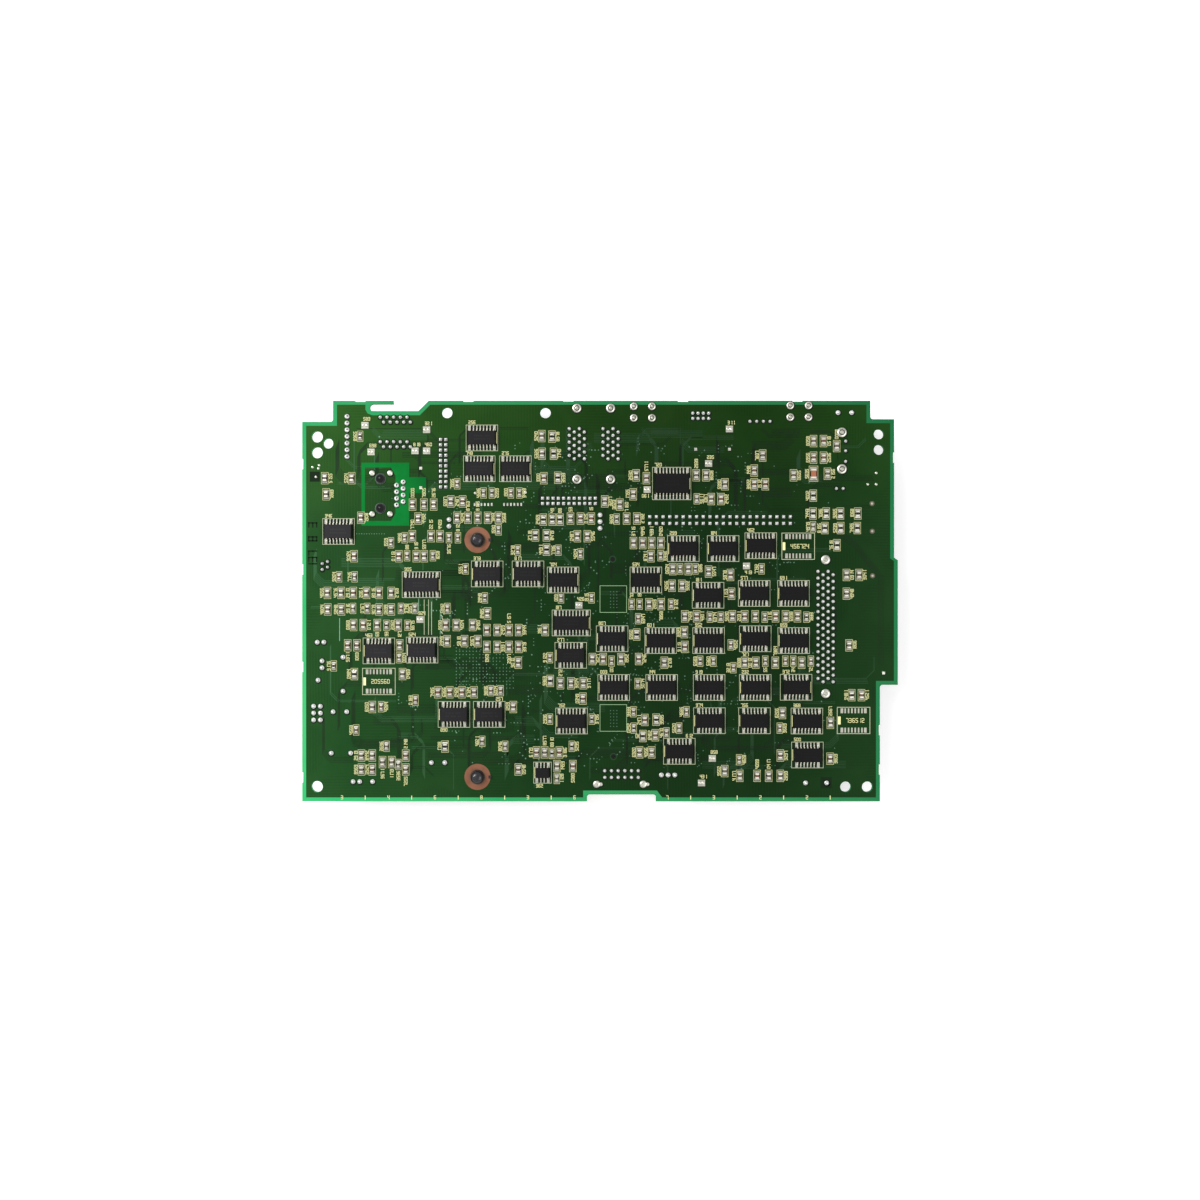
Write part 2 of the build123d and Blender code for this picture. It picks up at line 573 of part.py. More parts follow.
plain_headers = ("service_header", "wafer_seven", "wafer_four", "wafer_three", "wafer_eight")
plain_headers += ("wafer_six", "jumper_three", "jumper_two", "link_two")
headers = [plain_header(SQUARE_GRIDS[name]) for name in plain_headers]
write("pin_headers", headers + [power_terminal()])
write("ribbon_headers", [ribbon_header(y) for y in RIBBON_SITES])
write("card_connector", [card_connector()])
write("optical_link", [optical_link()])
write("board_spacers", [spacer(x, y) for x, y in SPACER_SITES])
write("can_capacitors", [can_capacitor(*site) for site in CAN_SITES])
power_parts = [choke(x, y) for x, y in CHOKE_SITES]
power_parts.append(moulded(13.0, 11.0, 9.5, -98.3, -57.7))
power_parts.append(moulded(11.5, 4.6, 10.0, -90.0, -68.5))
power_parts.append(moulded(12.6, 16.8, 8.0, -101.6, -27.8))
write("power_parts", power_parts)
write("main_processor", [moulded(27.0, 27.0, 2.2, -43.0, -24.0)])
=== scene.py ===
"""Looks for the main control board: materials, solder, leads, printed marks, light and camera."""
import itertools
import math
import random

import bpy
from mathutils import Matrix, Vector


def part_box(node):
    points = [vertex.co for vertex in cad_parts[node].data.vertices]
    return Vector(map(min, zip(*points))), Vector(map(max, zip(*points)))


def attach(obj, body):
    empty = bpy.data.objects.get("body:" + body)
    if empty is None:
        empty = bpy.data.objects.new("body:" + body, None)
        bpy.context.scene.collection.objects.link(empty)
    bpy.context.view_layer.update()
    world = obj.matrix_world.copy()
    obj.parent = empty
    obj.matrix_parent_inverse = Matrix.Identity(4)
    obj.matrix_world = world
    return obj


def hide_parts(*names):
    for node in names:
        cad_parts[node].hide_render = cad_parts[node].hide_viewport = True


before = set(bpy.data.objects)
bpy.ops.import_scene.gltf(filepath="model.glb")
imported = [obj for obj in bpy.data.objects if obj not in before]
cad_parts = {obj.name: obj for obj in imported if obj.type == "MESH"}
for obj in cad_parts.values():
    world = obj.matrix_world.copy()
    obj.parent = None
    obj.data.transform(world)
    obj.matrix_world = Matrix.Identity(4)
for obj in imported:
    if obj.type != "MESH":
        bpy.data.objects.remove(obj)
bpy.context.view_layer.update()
rng = random.Random(7)
MM = 0.001


def node_box(node):
    """Box of a whole CAD node, in mm: x0, y0, z0, x1, y1, z1."""
    return [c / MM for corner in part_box(node) for c in corner]


UNDER, TOP = node_box("circuit_board")[2::3]    # heights of the component and solder sides, in mm


# ------------ mesh building, all in mm
def add_piece(name, mesh):
    """Put a mesh into the scene as a piece that rides on the board."""
    obj = bpy.data.objects.new(name, mesh)
    bpy.context.scene.collection.objects.link(obj)
    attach(obj, "root")
    return obj


def circle(x, y, radius, sides, first=0.0):
    """Points round a circle. First is how far round the first point is, as a share of one side."""
    angles = [2 * math.pi * (i + first) / sides for i in range(sides)]
    return [(x + radius * math.cos(angle), y + radius * math.sin(angle)) for angle in angles]


def band(a, b, count):
    """Faces between two closed rings of points that start at index a and index b."""
    return [(a + i, a + (i + 1) % count, b + (i + 1) % count, b + i) for i in range(count)]


class Batch:
    """Collects many small closed shapes, each in one of a few finishes, into one piece."""

    def __init__(self, *finishes):
        self.finishes = finishes
        self.verts, self.faces, self.mats, self.smooth = [], [], [], []

    def add(self, verts, faces, finish, smooth=False):
        """Take in the corners and faces of one shape."""
        base = len(self.verts)
        self.verts += verts
        self.faces += [tuple(base + i for i in face) for face in faces]
        self.mats += [self.finishes.index(finish)] * len(faces)
        self.smooth += [smooth] * len(faces)

    def loops(self, rings, finish, smooth=False):
        """Skin closed rings of equal length, bottom first, and cap both ends."""
        count = len(rings[0])
        verts = [point for ring in rings for point in ring]
        faces = [tuple(reversed(range(count)))]
        for level in range(len(rings) - 1):
            faces += band(level * count, (level + 1) * count, count)
        last = (len(rings) - 1) * count
        faces.append(tuple(range(last, last + count)))
        self.add(verts, faces, finish, smooth)

    def prism(self, points, z0, z1, finish):
        """Upright block on a flat outline."""
        self.loops([[(x, y, z) for x, y in points] for z in (z0, z1)], finish)

    def box(self, x0, y0, x1, y1, z0, z1, finish):
        """Upright block between two opposite corners, given in either order."""
        x0, x1 = sorted((x0, x1))
        y0, y1 = sorted((y0, y1))
        self.prism([(x0, y0), (x1, y0), (x1, y1), (x0, y1)], z0, z1, finish)

    def profile(self, outline, x0, x1, finish, flip):
        """Outline of (y, z) points drawn out along X. Flip it where it runs the other way round."""
        rings = [[(x, y, z) for y, z in outline] for x in (x0, x1)]
        if flip:
            rings.reverse()
        self.loops(rings, finish)

    def turned(self, x, y, profile, finish, sides=12, smooth=True):
        """Solid of revolution: profile is (radius, height) pairs from the bottom up."""
        rings = [[(px, py, z) for px, py in circle(x, y, radius, sides, 0.5)] for radius, z in profile]
        self.loops(rings, finish, smooth)

    def ring(self, x, y, inner, outer, z0, z1, finish, sides=32, smooth=False):
        """Flat washer."""
        verts = [(px, py, z) for radius, z in ((inner, z0), (outer, z0), (outer, z1), (inner, z1))
                 for px, py in circle(x, y, radius, sides)]
        faces = []
        for part in range(4):
            faces += band(part * sides, (part + 1) % 4 * sides, sides)
        self.add(verts, faces, finish, smooth)

    def bar(self, x0, y0, x1, y1, width, z0, z1, finish):
        """Straight strip from one point to another, with square ends half a width beyond them."""
        dx, dy = x1 - x0, y1 - y0
        length = math.hypot(dx, dy) or 1.0
        ux, uy = dx / length * width / 2, dy / length * width / 2
        points = [
            (x0 - ux + uy, y0 - uy - ux), (x1 + ux + uy, y1 + uy - ux),
            (x1 + ux - uy, y1 + uy + ux), (x0 - ux - uy, y0 - uy + ux),
        ]
        self.prism(points, z0, z1, finish)

    def outline(self, x0, y0, x1, y1, width, z0, z1, finish):
        """Rectangle drawn with a line of one width."""
        half = width / 2
        self.box(x0 - half, y0 - half, x1 + half, y0 + half, z0, z1, finish)
        self.box(x0 - half, y1 - half, x1 + half, y1 + half, z0, z1, finish)
        self.box(x0 - half, y0 + half, x0 + half, y1 - half, z0, z1, finish)
        self.box(x1 - half, y0 + half, x1 + half, y1 - half, z0, z1, finish)

    def make(self, name, slot, *replaced):
        """Make the piece, which stands for the CAD nodes that it replaces."""
        mesh = bpy.data.meshes.new(name)
        mesh.from_pydata([Vector(v) * MM for v in self.verts], [], self.faces)
        for finish in self.finishes:
            mesh.materials.append(finish)
        mesh.polygons.foreach_set("material_index", self.mats)
        mesh.polygons.foreach_set("use_smooth", self.smooth)
        mesh.update()
        piece = add_piece(name, mesh)
        if replaced:
            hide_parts(*replaced)


def flat_sheet(name, loops, z0, z1, finish):
    """Thin sheet from closed outlines: the first is the outside, and the rest are holes in it."""
    curve = bpy.data.curves.new(name, "CURVE")
    curve.dimensions = "2D"
    curve.fill_mode = "BOTH"
    curve.extrude = (z1 - z0) / 2 * MM
    for points in loops:
        spline = curve.splines.new("POLY")
        spline.points.add(len(points) - 1)
        for target, (x, y) in zip(spline.points, points):
            target.co = (x * MM, y * MM, 0, 1)
        spline.use_cyclic_u = True
    shaped = bpy.data.objects.new(name, curve)
    shaped.location.z = (z0 + z1) / 2 * MM
    bpy.context.scene.collection.objects.link(shaped)
    bpy.context.view_layer.update()
    mesh = bpy.data.meshes.new_from_object(shaped)
    mesh.transform(shaped.matrix_world)
    bpy.data.objects.remove(shaped)
    mesh.materials.clear()
    mesh.materials.append(finish)
    add_piece(name, mesh)


def around(x, y, half_x, half_y):
    """Corners of a rectangle with its middle at a point: x0, y0, x1, y1."""
    return x - half_x, y - half_y, x + half_x, y + half_y


def islands(node):
    """Box of every separate solid of a CAD node, in mm: (x0, y0, z0, x1, y1, z1)."""
    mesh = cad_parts[node].data
    keys = {}
    owner = []
    for vertex in mesh.vertices:
        key = tuple(round(c / MM, 3) for c in vertex.co)
        owner.append(keys.setdefault(key, len(keys)))
    parent = list(range(len(keys)))

    def root(i):
        while parent[i] != i:
            parent[i] = parent[parent[i]]
            i = parent[i]
        return i

    for polygon in mesh.polygons:
        first = root(owner[polygon.vertices[0]])
        for index in polygon.vertices[1:]:
            parent[root(owner[index])] = first
    groups = {}
    for key, index in keys.items():
        groups.setdefault(root(index), []).append(key)
    found = []
    for points in groups.values():
        axes = list(zip(*points))
        found.append((*map(min, axes), *map(max, axes)))
    return sorted(found)


def middle(box):
    """X and Y of the middle of a box."""
    return (box[0] + box[3]) / 2, (box[1] + box[4]) / 2


def within(areas, x, y):
    """True where a point lies in one of the areas."""
    return any(x0 < x < x1 and y0 < y < y1 for x0, y0, x1, y1 in areas)


# ------------ materials
def set_inputs(node, values):
    """Set the plain values of a node's inputs."""
    for name, value in values.items():
        node.inputs[name].default_value = value


def add_node(nodes, kind, values=(), **settings):
    """New shader node with its settings, and with plain values on some inputs."""
    node = nodes.new("ShaderNode" + kind)
    for name, value in settings.items():
        setattr(node, name, value)
    set_inputs(node, dict(values))
    return node


def group_mottle():
    """Node group: soft blotches and fine grain as two masks."""
    group = bpy.data.node_groups.new("mottle", "ShaderNodeTree")
    socket = group.interface.new_socket
    for name in ("Blotch scale", "Grain scale"):
        socket(name=name, in_out="INPUT", socket_type="NodeSocketFloat")
    for name in ("Blotch", "Grain"):
        socket(name=name, in_out="OUTPUT", socket_type="NodeSocketFloat")
    nodes, links = group.nodes, group.links
    inside, outside = nodes.new("NodeGroupInput"), nodes.new("NodeGroupOutput")
    where = add_node(nodes, "TexCoord")
    for index, (name, detail) in enumerate((("Blotch", 4.0), ("Grain", 6.0))):
        noise = add_node(nodes, "TexNoise", {"Detail": detail, "Roughness": 0.6})
        links.new(where.outputs["Object"], noise.inputs["Vector"])
        links.new(inside.outputs[index], noise.inputs["Scale"])
        links.new(noise.outputs["Fac"], outside.inputs[name])
    return group


MOTTLE = group_mottle()


def material(name, dark, light, rough, metallic=0.0, blotch=60.0, grain=2500.0, bump=0.15,
             depth=0.00002, spread=0.12, coat=0.0, shine=0.5):
    """Procedural finish: colour and gloss vary with the blotches, and the grain gives the relief."""
    mat = bpy.data.materials.new(name)
    mat.use_nodes = True
    nodes, links = mat.node_tree.nodes, mat.node_tree.links
    shader = nodes["Principled BSDF"]
    set_inputs(shader, {"Metallic": metallic, "Coat Weight": coat, "Specular IOR Level": shine})
    mottle = add_node(nodes, "Group", {"Blotch scale": blotch, "Grain scale": grain}, node_tree=MOTTLE)
    ramp = add_node(nodes, "Mix", {6: (*dark, 1), 7: (*light, 1)}, data_type="RGBA")
    links.new(mottle.outputs["Blotch"], ramp.inputs[0])
    links.new(ramp.outputs[2], shader.inputs["Base Color"])
    gloss = add_node(nodes, "MapRange", {"From Min": 0.3, "From Max": 0.7,
                                         "To Min": max(0.02, rough - spread), "To Max": rough + spread})
    links.new(mottle.outputs["Blotch"], gloss.inputs["Value"])
    links.new(gloss.outputs["Result"], shader.inputs["Roughness"])
    relief = add_node(nodes, "Bump", {"Strength": bump, "Distance": depth})
    links.new(mottle.outputs["Grain"], relief.inputs["Height"])
    links.new(relief.outputs["Normal"], shader.inputs["Normal"])
    return mat


def group_trace_lines():
    """Node group: parallel lines along X in some patches and along Y in others, as one mask."""
    group = bpy.data.node_groups.new("trace_lines", "ShaderNodeTree")
    group.interface.new_socket(name="Lines", in_out="OUTPUT", socket_type="NodeSocketFloat")
    nodes, links = group.nodes, group.links
    outside = nodes.new("NodeGroupOutput")
    where = add_node(nodes, "TexCoord")
    patches = add_node(nodes, "TexNoise", {"Scale": 38, "Detail": 1.0})
    links.new(where.outputs["Object"], patches.inputs["Vector"])
    parts = []
    for axis, none, full in (("X", 0.53, 0.58), ("Y", 0.46, 0.41)):
        wave = add_node(nodes, "TexWave", {"Scale": 290, "Distortion": 1.2, "Detail Scale": 0.4},
                        bands_direction=axis)
        gate = add_node(nodes, "MapRange", {"From Min": none, "From Max": full})
        both = add_node(nodes, "Math", operation="MULTIPLY")
        links.new(where.outputs["Object"], wave.inputs["Vector"])
        links.new(patches.outputs["Fac"], gate.inputs["Value"])
        links.new(wave.outputs["Fac"], both.inputs[0])
        links.new(gate.outputs["Result"], both.inputs[1])
        parts.append(both)
    total = add_node(nodes, "Math", operation="ADD")
    links.new(parts[0].outputs["Value"], total.inputs[0])
    links.new(parts[1].outputs["Value"], total.inputs[1])
    links.new(total.outputs["Value"], outside.inputs["Lines"])
    return group


def base_colour(mat):
    """Nodes and links of a finish, its base colour input, and the socket that feeds it."""
    nodes, links = mat.node_tree.nodes, mat.node_tree.links
    colour = nodes["Principled BSDF"].inputs["Base Color"]
    return nodes, links, colour, colour.links[0].from_socket


def add_trace_lines(mat, strength):
    """Darken the colour along the lines of the trace group, and lift it a little between them."""
    nodes, links, colour, source = base_colour(mat)
    lines = add_node(nodes, "Group", node_tree=group_trace_lines())
    factor = add_node(nodes, "MapRange", {"To Min": 1 + strength * 0.3, "To Max": 1 - strength})
    scaled = add_node(nodes, "VectorMath", operation="SCALE")
    links.new(lines.outputs["Lines"], factor.inputs["Value"])
    links.new(source, scaled.inputs[0])
    links.new(factor.outputs["Result"], scaled.inputs["Scale"])
    links.new(scaled.outputs["Vector"], colour)


HALF_LENGTH, HALF_WIDTH = 0.113, 0.076      # half of the board along X and along Y, in metres


def fade_across(mat, factors, axis="X", half=HALF_LENGTH):
    """Multiply the colour by factors that run in even steps across the board along one axis."""
    nodes, links, colour, source = base_colour(mat)
    where = add_node(nodes, "TexCoord")
    split = add_node(nodes, "SeparateXYZ")
    span = add_node(nodes, "MapRange", {"From Min": -half, "From Max": half})
    ramp = add_node(nodes, "ValToRGB")
    stops = ramp.color_ramp.elements
    while len(stops) < len(factors):
        stops.new(0.5)
    for index, factor in enumerate(factors):
        shares = factor if isinstance(factor, tuple) else (factor, factor, factor)
        stops[index].position = index / (len(factors) - 1)
        stops[index].color = (*shares, 1)
    mixed = add_node(nodes, "VectorMath", operation="MULTIPLY")
    links.new(where.outputs["Object"], split.inputs["Vector"])
    links.new(split.outputs[axis], span.inputs["Value"])
    links.new(span.outputs["Result"], ramp.inputs["Fac"])
    links.new(source, mixed.inputs[0])
    links.new(ramp.outputs["Color"], mixed.inputs[1])
    links.new(mixed.outputs["Vector"], colour)


# the laminate and the mask over it, which darken from one end of the board to the other: painted light
# falloff
MASK_LIGHT_FALLOFF = (0.95, 0.68, 0.46, 0.34, 0.33, 0.53)
laminate = material("laminate_rim", (0.006, 0.35, 0.105), (0.075, 0.44, 0.165), 0.5, blotch=40,
                    shine=0.04)
fade_across(laminate, (1.0, 0.7, 0.5, 0.38))
fade_across(laminate, (1.1, 1.0, 1.0, 0.75), "Y", HALF_WIDTH)
zone_green = material("mask_without_copper", (0.0, 0.12, 0.014), (0.004, 0.18, 0.032), 0.5,
                      blotch=150, shine=0.04)
ZONE_END = 0.0905       # left end of the isolation zone, in metres from the middle of the board
fade_across(zone_green, (1.1, 1.0, 0.25) + (0.2,) * 9, half=ZONE_END)
plane = material("mask_over_copper", (0.009, 0.050, 0.010), (0.024, 0.082, 0.018), 0.42, blotch=30,
                 shine=0.02)
fade_across(plane, MASK_LIGHT_FALLOFF)
# painted light: the mask's tone and tint also change from the front edge to the back
fade_across(plane, ((1.12, 1.1, 1.3), (0.98, 0.97, 1.15), (1.0, 0.98, 1.15), (1.55, 1.4, 1.05)),
            "Y", HALF_WIDTH)
add_trace_lines(plane, 0.10)
trace_dark = material("trace_under_mask", (0.007, 0.028, 0.007), (0.012, 0.040, 0.011), 0.4,
                      shine=0.1)
trace_light = material("trace_edge_light", (0.024, 0.09, 0.032), (0.038, 0.118, 0.042), 0.4,
                       shine=0.1)
via_metal = material("via_ring", (0.10, 0.26, 0.16), (0.28, 0.50, 0.34), 0.4, blotch=700, shine=0.2)
# the same painted light falloff on the traces and the vias
for mat in (trace_dark, trace_light, via_metal):
    fade_across(mat, MASK_LIGHT_FALLOFF)
# painted shade: dark mask laid where shade falls under packages and chip parts and beside pin ends;
# also the ink of the large dark figures
painted_shade_and_dark_print = material("painted_shade_and_dark_print", (0.004, 0.012, 0.004), (0.009, 0.022, 0.008), 0.5,
                         shine=0.05)

# packages and the marks on them
# painted light falloff: the packages and their marks darken across the board like the mask
CHIP_LIGHT_FALLOFF = (1.4, 1.0, 0.5, 0.28, 0.22, 0.3)
epoxy = material("chip_epoxy", (0.010, 0.0095, 0.0105), (0.019, 0.018, 0.020), 0.55, grain=6000,
                 bump=0.4, shine=0.12)
chip_mark = material("chip_print", (0.015, 0.015, 0.016), (0.028, 0.028, 0.029), 0.6, blotch=1500,
                     shine=0.12)
fade_across(epoxy, CHIP_LIGHT_FALLOFF)
fade_across(chip_mark, CHIP_LIGHT_FALLOFF)

# bare metal and solder
tin = material("tinned_lead", (0.60, 0.58, 0.48), (0.86, 0.83, 0.71), 0.4, 0.7, blotch=900)
solder = material("bright_solder", (0.48, 0.48, 0.41), (0.80, 0.80, 0.70), 0.33, 0.85, blotch=1400)
tail_solder = material("tail_solder", (0.64, 0.65, 0.62), (0.93, 0.94, 0.91), 0.3, 0.55, blotch=1400)
pad_tin = material("tinned_pad", (0.30, 0.30, 0.24), (0.52, 0.51, 0.43), 0.45, 0.7, blotch=700)
copper = material("bare_copper", (0.155, 0.058, 0.028), (0.285, 0.122, 0.07), 0.5, 0.6, blotch=300)
steel = material("shield_steel", (0.5, 0.5, 0.48), (0.68, 0.68, 0.66), 0.32, 0.95, blotch=150)
gold = material("contact_gold", (0.55, 0.38, 0.12), (0.75, 0.55, 0.22), 0.3, 0.95, blotch=300)
flux_stain = material("flux_stain", (0.055, 0.05, 0.025), (0.12, 0.095, 0.06), 0.5, blotch=900)
grey_ring_and_glint = material("post_ring_and_glint", (0.03, 0.045, 0.04), (0.07, 0.09, 0.08), 0.3, blotch=500)

# printed inks
ink = material("pale_ink", (0.30, 0.31, 0.13), (0.48, 0.48, 0.24), 0.6, blotch=1500, shine=0.2)
ink_bright = material("bright_ink", (0.66, 0.65, 0.27), (0.90, 0.87, 0.47), 0.6, blotch=1500, shine=0.2)
ink_white = material("white_ink", (0.34, 0.37, 0.22), (0.50, 0.53, 0.36), 0.6, blotch=1500, shine=0.2)
ink_green = material("green_ink", (0.17, 0.30, 0.15), (0.28, 0.42, 0.23), 0.6, blotch=1500, shine=0.2)

# ceramic parts and mouldings
grey_brown = material("capacitor_grey", (0.06, 0.05, 0.04), (0.14, 0.115, 0.09), 0.5, blotch=900)
brown = material("capacitor_brown", (0.075, 0.032, 0.02), (0.16, 0.075, 0.045), 0.5, blotch=900)
orange = material("capacitor_orange", (0.24, 0.07, 0.03), (0.36, 0.13, 0.06), 0.5, blotch=500)
black_glass = material("resistor_glaze", (0.006, 0.006, 0.007), (0.014, 0.014, 0.014), 0.3,
                       blotch=900, shine=0.3)
nylon = material("black_nylon", (0.008, 0.007, 0.009), (0.018, 0.016, 0.02), 0.2, blotch=200,
                 bump=0.0, coat=0.35)
# black of holes and post ends; also painted shade in grooves, gaps and round solder dishes, and a
# painted dark reflection on pin tips
hole_black_and_painted_dark = material("hole_black_and_painted_dark", (0.004, 0.004, 0.004), (0.01, 0.01, 0.01), 0.6, shine=0.1)
black_plastic = material("connector_black", (0.012, 0.012, 0.013), (0.028, 0.028, 0.028), 0.45,
                         shine=0.3)
ivory_plastic = material("connector_ivory", (0.62, 0.58, 0.47), (0.78, 0.75, 0.64), 0.5)
sleeve = material("can_sleeve", (0.012, 0.016, 0.05), (0.03, 0.035, 0.09), 0.35)
moulded = material("power_mould", (0.025, 0.025, 0.025), (0.05, 0.05, 0.05), 0.5, shine=0.3)


# ------------ CAD pieces kept as they are
def keep(node, finish, bevel=0.0):
    """Give a CAD piece its finish, and edges that are rounded by bevel mm."""
    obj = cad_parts[node]
    obj.data.materials.clear()
    obj.data.materials.append(finish)
    if bevel:
        mod = obj.modifiers.new("edge", "BEVEL")
        mod.width = bevel * MM
        mod.segments = 2
        mod.limit_method = "ANGLE"
        mod.angle_limit = math.radians(30)


keep("circuit_board", laminate)
chip_names = sorted(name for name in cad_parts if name.startswith("logic_chip_"))
for name in chip_names:
    keep(name, epoxy, 0.12)
keep("main_processor", epoxy, 0.2)
for name in ("io_connectors", "expansion_connector", "bus_socket", "card_connector",
             "optical_link", "network_jack_body"):
    keep(name, black_plastic, 0.15)
for name in ("display_header", "edge_socket", "pin_headers", "ribbon_headers"):
    keep(name, ivory_plastic, 0.1)
keep("network_jack_shield", steel, 0.05)
keep("board_spacers", nylon, 0.15)
keep("can_capacitors", sleeve, 0.1)
keep("power_parts", moulded, 0.2)

# rounded tips on the spacer heads
FOOT_RADIUS = 4.4       # from the spacer's lowest X to its middle; its key peg is on the other side
tips = Batch(nylon)
for x0, y0, z0, x1, y1, z1 in islands("board_spacers"):
    dome = [(2.62, TOP + 1.15), (2.5, TOP + 1.5), (2.2, TOP + 2.1), (1.8, TOP + 2.6),
            (1.3, TOP + 2.95), (0.6, z1 + 0.03), (0.1, z1 + 0.04)]
    tips.turned(x0 + FOOT_RADIUS, (y0 + y1) / 2, dome, nylon, 28)
tips.make("spacer_tips", "spacer_nylon")

# ------------ the dark planes under the mask
RIM = 1.5               # width of the bare rim round the planes
plane_edge = [
    (-113 + RIM, -76 + RIM), (-4.9 - RIM, -76 + RIM), (-4.9 - RIM, -73.4 + RIM),
    (21.6, -73.4 + RIM), (23.6, -76 + RIM), (106.2 - RIM, -76 + RIM), (106.2 - RIM, -31.8 + RIM),
    (113 - RIM, -31.8 + RIM), (113 - RIM, 15.2), (111.6 - RIM, 16.2), (111.6 - RIM, 69 - RIM),
    (102.6 - RIM, 69 - RIM), (102.6 - RIM, 76 - RIM), (-64.4, 76 - RIM), (-68.4, 72 - RIM),
    (-86.4, 72 - RIM), (-88.2, 71.2), (-89.0, 72.6), (-89.0, 76 - RIM), (-101.3 + RIM, 76 - RIM),
    (-101.3 + RIM, 68 - RIM), (-113 + RIM, 68 - RIM),
]
HOLES = [               # x, y, radius
    (-107.3, 62.3, 2.1), (-103.1, 59.8, 1.9), (-107.3, 56.3, 2.1), (-107.3, -70.4, 2.1),
    (-58.0, 71.4, 2.0), (-20.7, 71.4, 2.0), (105.8, 63.3, 1.9), (105.8, 57.4, 1.9),
    (93.2, -70.5, 2.0), (101.4, -70.5, 2.0),
]
outlines = [plane_edge] + [circle(x, y, radius + 0.06, 28) for x, y, radius in HOLES]
flat_sheet("copper_plane", outlines, TOP, TOP + 0.01, plane)
flat_sheet("underside_plane", outlines, UNDER - 0.02, UNDER, plane)

# ------------ metal of the component side
PITCH = 1.27            # of the contacts, of the leads and of the vias in a field
metal = Batch(tin, gold, steel, hole_black_and_painted_dark, copper)


def header_pins(box):
    """Cover the pins of one header with metal, from its outline and the pitch that fits."""
    x0, y0, z0, x1, y1, z1 = box
    for pitch in (2.54, 2.0, 2.6):
        columns, rows = (x1 - x0) / pitch, (y1 - y0) / pitch
        if abs(columns - round(columns)) < 0.01 and abs(rows - round(rows)) < 0.01:
            for column in range(round(columns)):
                for row in range(round(rows)):
                    x, y = x0 + (column + 0.5) * pitch, y0 + (row + 0.5) * pitch
                    metal.box(*around(x, y, 0.27, 0.27), z0 - 0.02, z1 - 2.5, tin)
            return
    # the power terminal fits no pitch and has two thick pins
    for x in ((x0 + x1) / 2 - 2.6, (x0 + x1) / 2 + 2.6):
        metal.box(*around(x, y0 + 2.9, 0.53, 0.53), z0 - 0.02, z1 - 3.0, tin)


def slot_contacts(box, count, inner, outer, half, z0, z1):
    """Two facing rows of gold contacts along Y, inside the slot of a connector."""
    x, y = middle(box)
    for index in range(count):
        contact_y = y + (index - (count - 1) / 2) * PITCH
        for side in (-1, 1):
            metal.box(x + side * inner, contact_y - half, x + side * outer, contact_y + half, z0, z1,
                      gold)


for box in islands("pin_headers"):
    header_pins(box)
for node in ("io_connectors", "expansion_connector"):
    for box in islands(node):
        contacts = round((box[4] - box[1] - 19.8) / PITCH)
        slot_contacts(box, contacts, 0.68, 0.92, 0.28, 0.6, 5.4)
card = node_box("card_connector")
slot_contacts(card, 55, 0.65, 0.92, 0.3, card[2] + 0.4, card[2] + 4.8)

# eight springs that lean into the jack's mouth
jack_x, jack_y = middle(node_box("network_jack_shield"))
wall = jack_x - 1.2 + 3.4
spring = ((0.1, 1.0), (0.5, 1.0), (2.9, 8.6), (2.5, 8.8))
for index in range(8):
    y = jack_y + (index - 3.5) * 1.02
    metal.loops([[(wall - depth, y + edge, z) for depth, z in spring] for edge in (-0.22, 0.22)],
                gold)

# a steel lid on each can, with a pressed cross whose grooves are painted dark as shade
for box in islands("can_capacitors"):
    x, y = middle(box)
    z0 = box[2]
    metal.turned(x, y, [(4.4, z0 - 0.02), (4.4, z0 + 0.1)], steel, 32)
    metal.bar(x - 2.6, y, x + 2.6, y, 0.2, z0 - 0.05, z0, hole_black_and_painted_dark)
    metal.bar(x, y - 2.6, x, y + 2.6, 0.2, z0 - 0.05, z0, hole_black_and_painted_dark)

# copper turns on the two chokes
for x, y in ((16.25, 71.7), (75.65, 72.0)):
    for index in range(8):
        turn = x + (index - 3.5) * 0.62
        metal.box(*around(turn, y, 0.22, 3.97), UNDER - 8.0, UNDER - 3.4, copper)
metal.make("contacts_and_pins", "tinned_lead")

# printed outlines and bare pads on the component side
UNDER_INK = (UNDER - 0.05, UNDER - 0.022)
under_lines = Batch(ink_white, pad_tin)
for node in ("io_connectors", "expansion_connector", "bus_socket", "card_connector", "display_header",
             "edge_socket", "pin_headers", "ribbon_headers", "optical_link", "network_jack_shield",
             "main_processor", "power_parts"):
    for x0, y0, z0, x1, y1, z1 in islands(node):
        # no outline passes the edge of the board
        under_lines.outline(max(x0 - 0.8, -112.5), max(y0 - 0.8, -73.1), min(x1 + 0.8, 111.0),
                            min(y1 + 0.8, 75.6), 0.25, *UNDER_INK, ink_white)
for node, clearance in (("can_capacitors", 0.6), ("board_spacers", 0.4)):
    for box in islands(node):
        inner = (box[4] - box[1]) / 2 + clearance
        under_lines.ring(*middle(box), inner, inner + 0.25, *UNDER_INK, ink_white)
for x, y, radius in HOLES:
    under_lines.ring(x, y, radius + 0.1, radius + 0.6, UNDER - 0.04, UNDER - 0.022, pad_tin, 28)
under_lines.make("underside_print", "board")

# ------------ packages: leads, pads, frames
PAD0, PAD1 = TOP + 0.02, TOP + 0.05             # heights of the layer of pads and ink
SHADE0, SHADE1 = TOP + 0.012, TOP + 0.024       # heights of the dark layer below it
PADS, SHADE = (PAD0, PAD1), (SHADE0, SHADE1)
pads = Batch(pad_tin, copper, hole_black_and_painted_dark, grey_ring_and_glint, solder, flux_stain, trace_light)
leads = Batch(tin, solder)
print_lines = Batch(ink, ink_white, ink_bright, painted_shade_and_dark_print, ink_green)
chip_print = Batch(chip_mark)
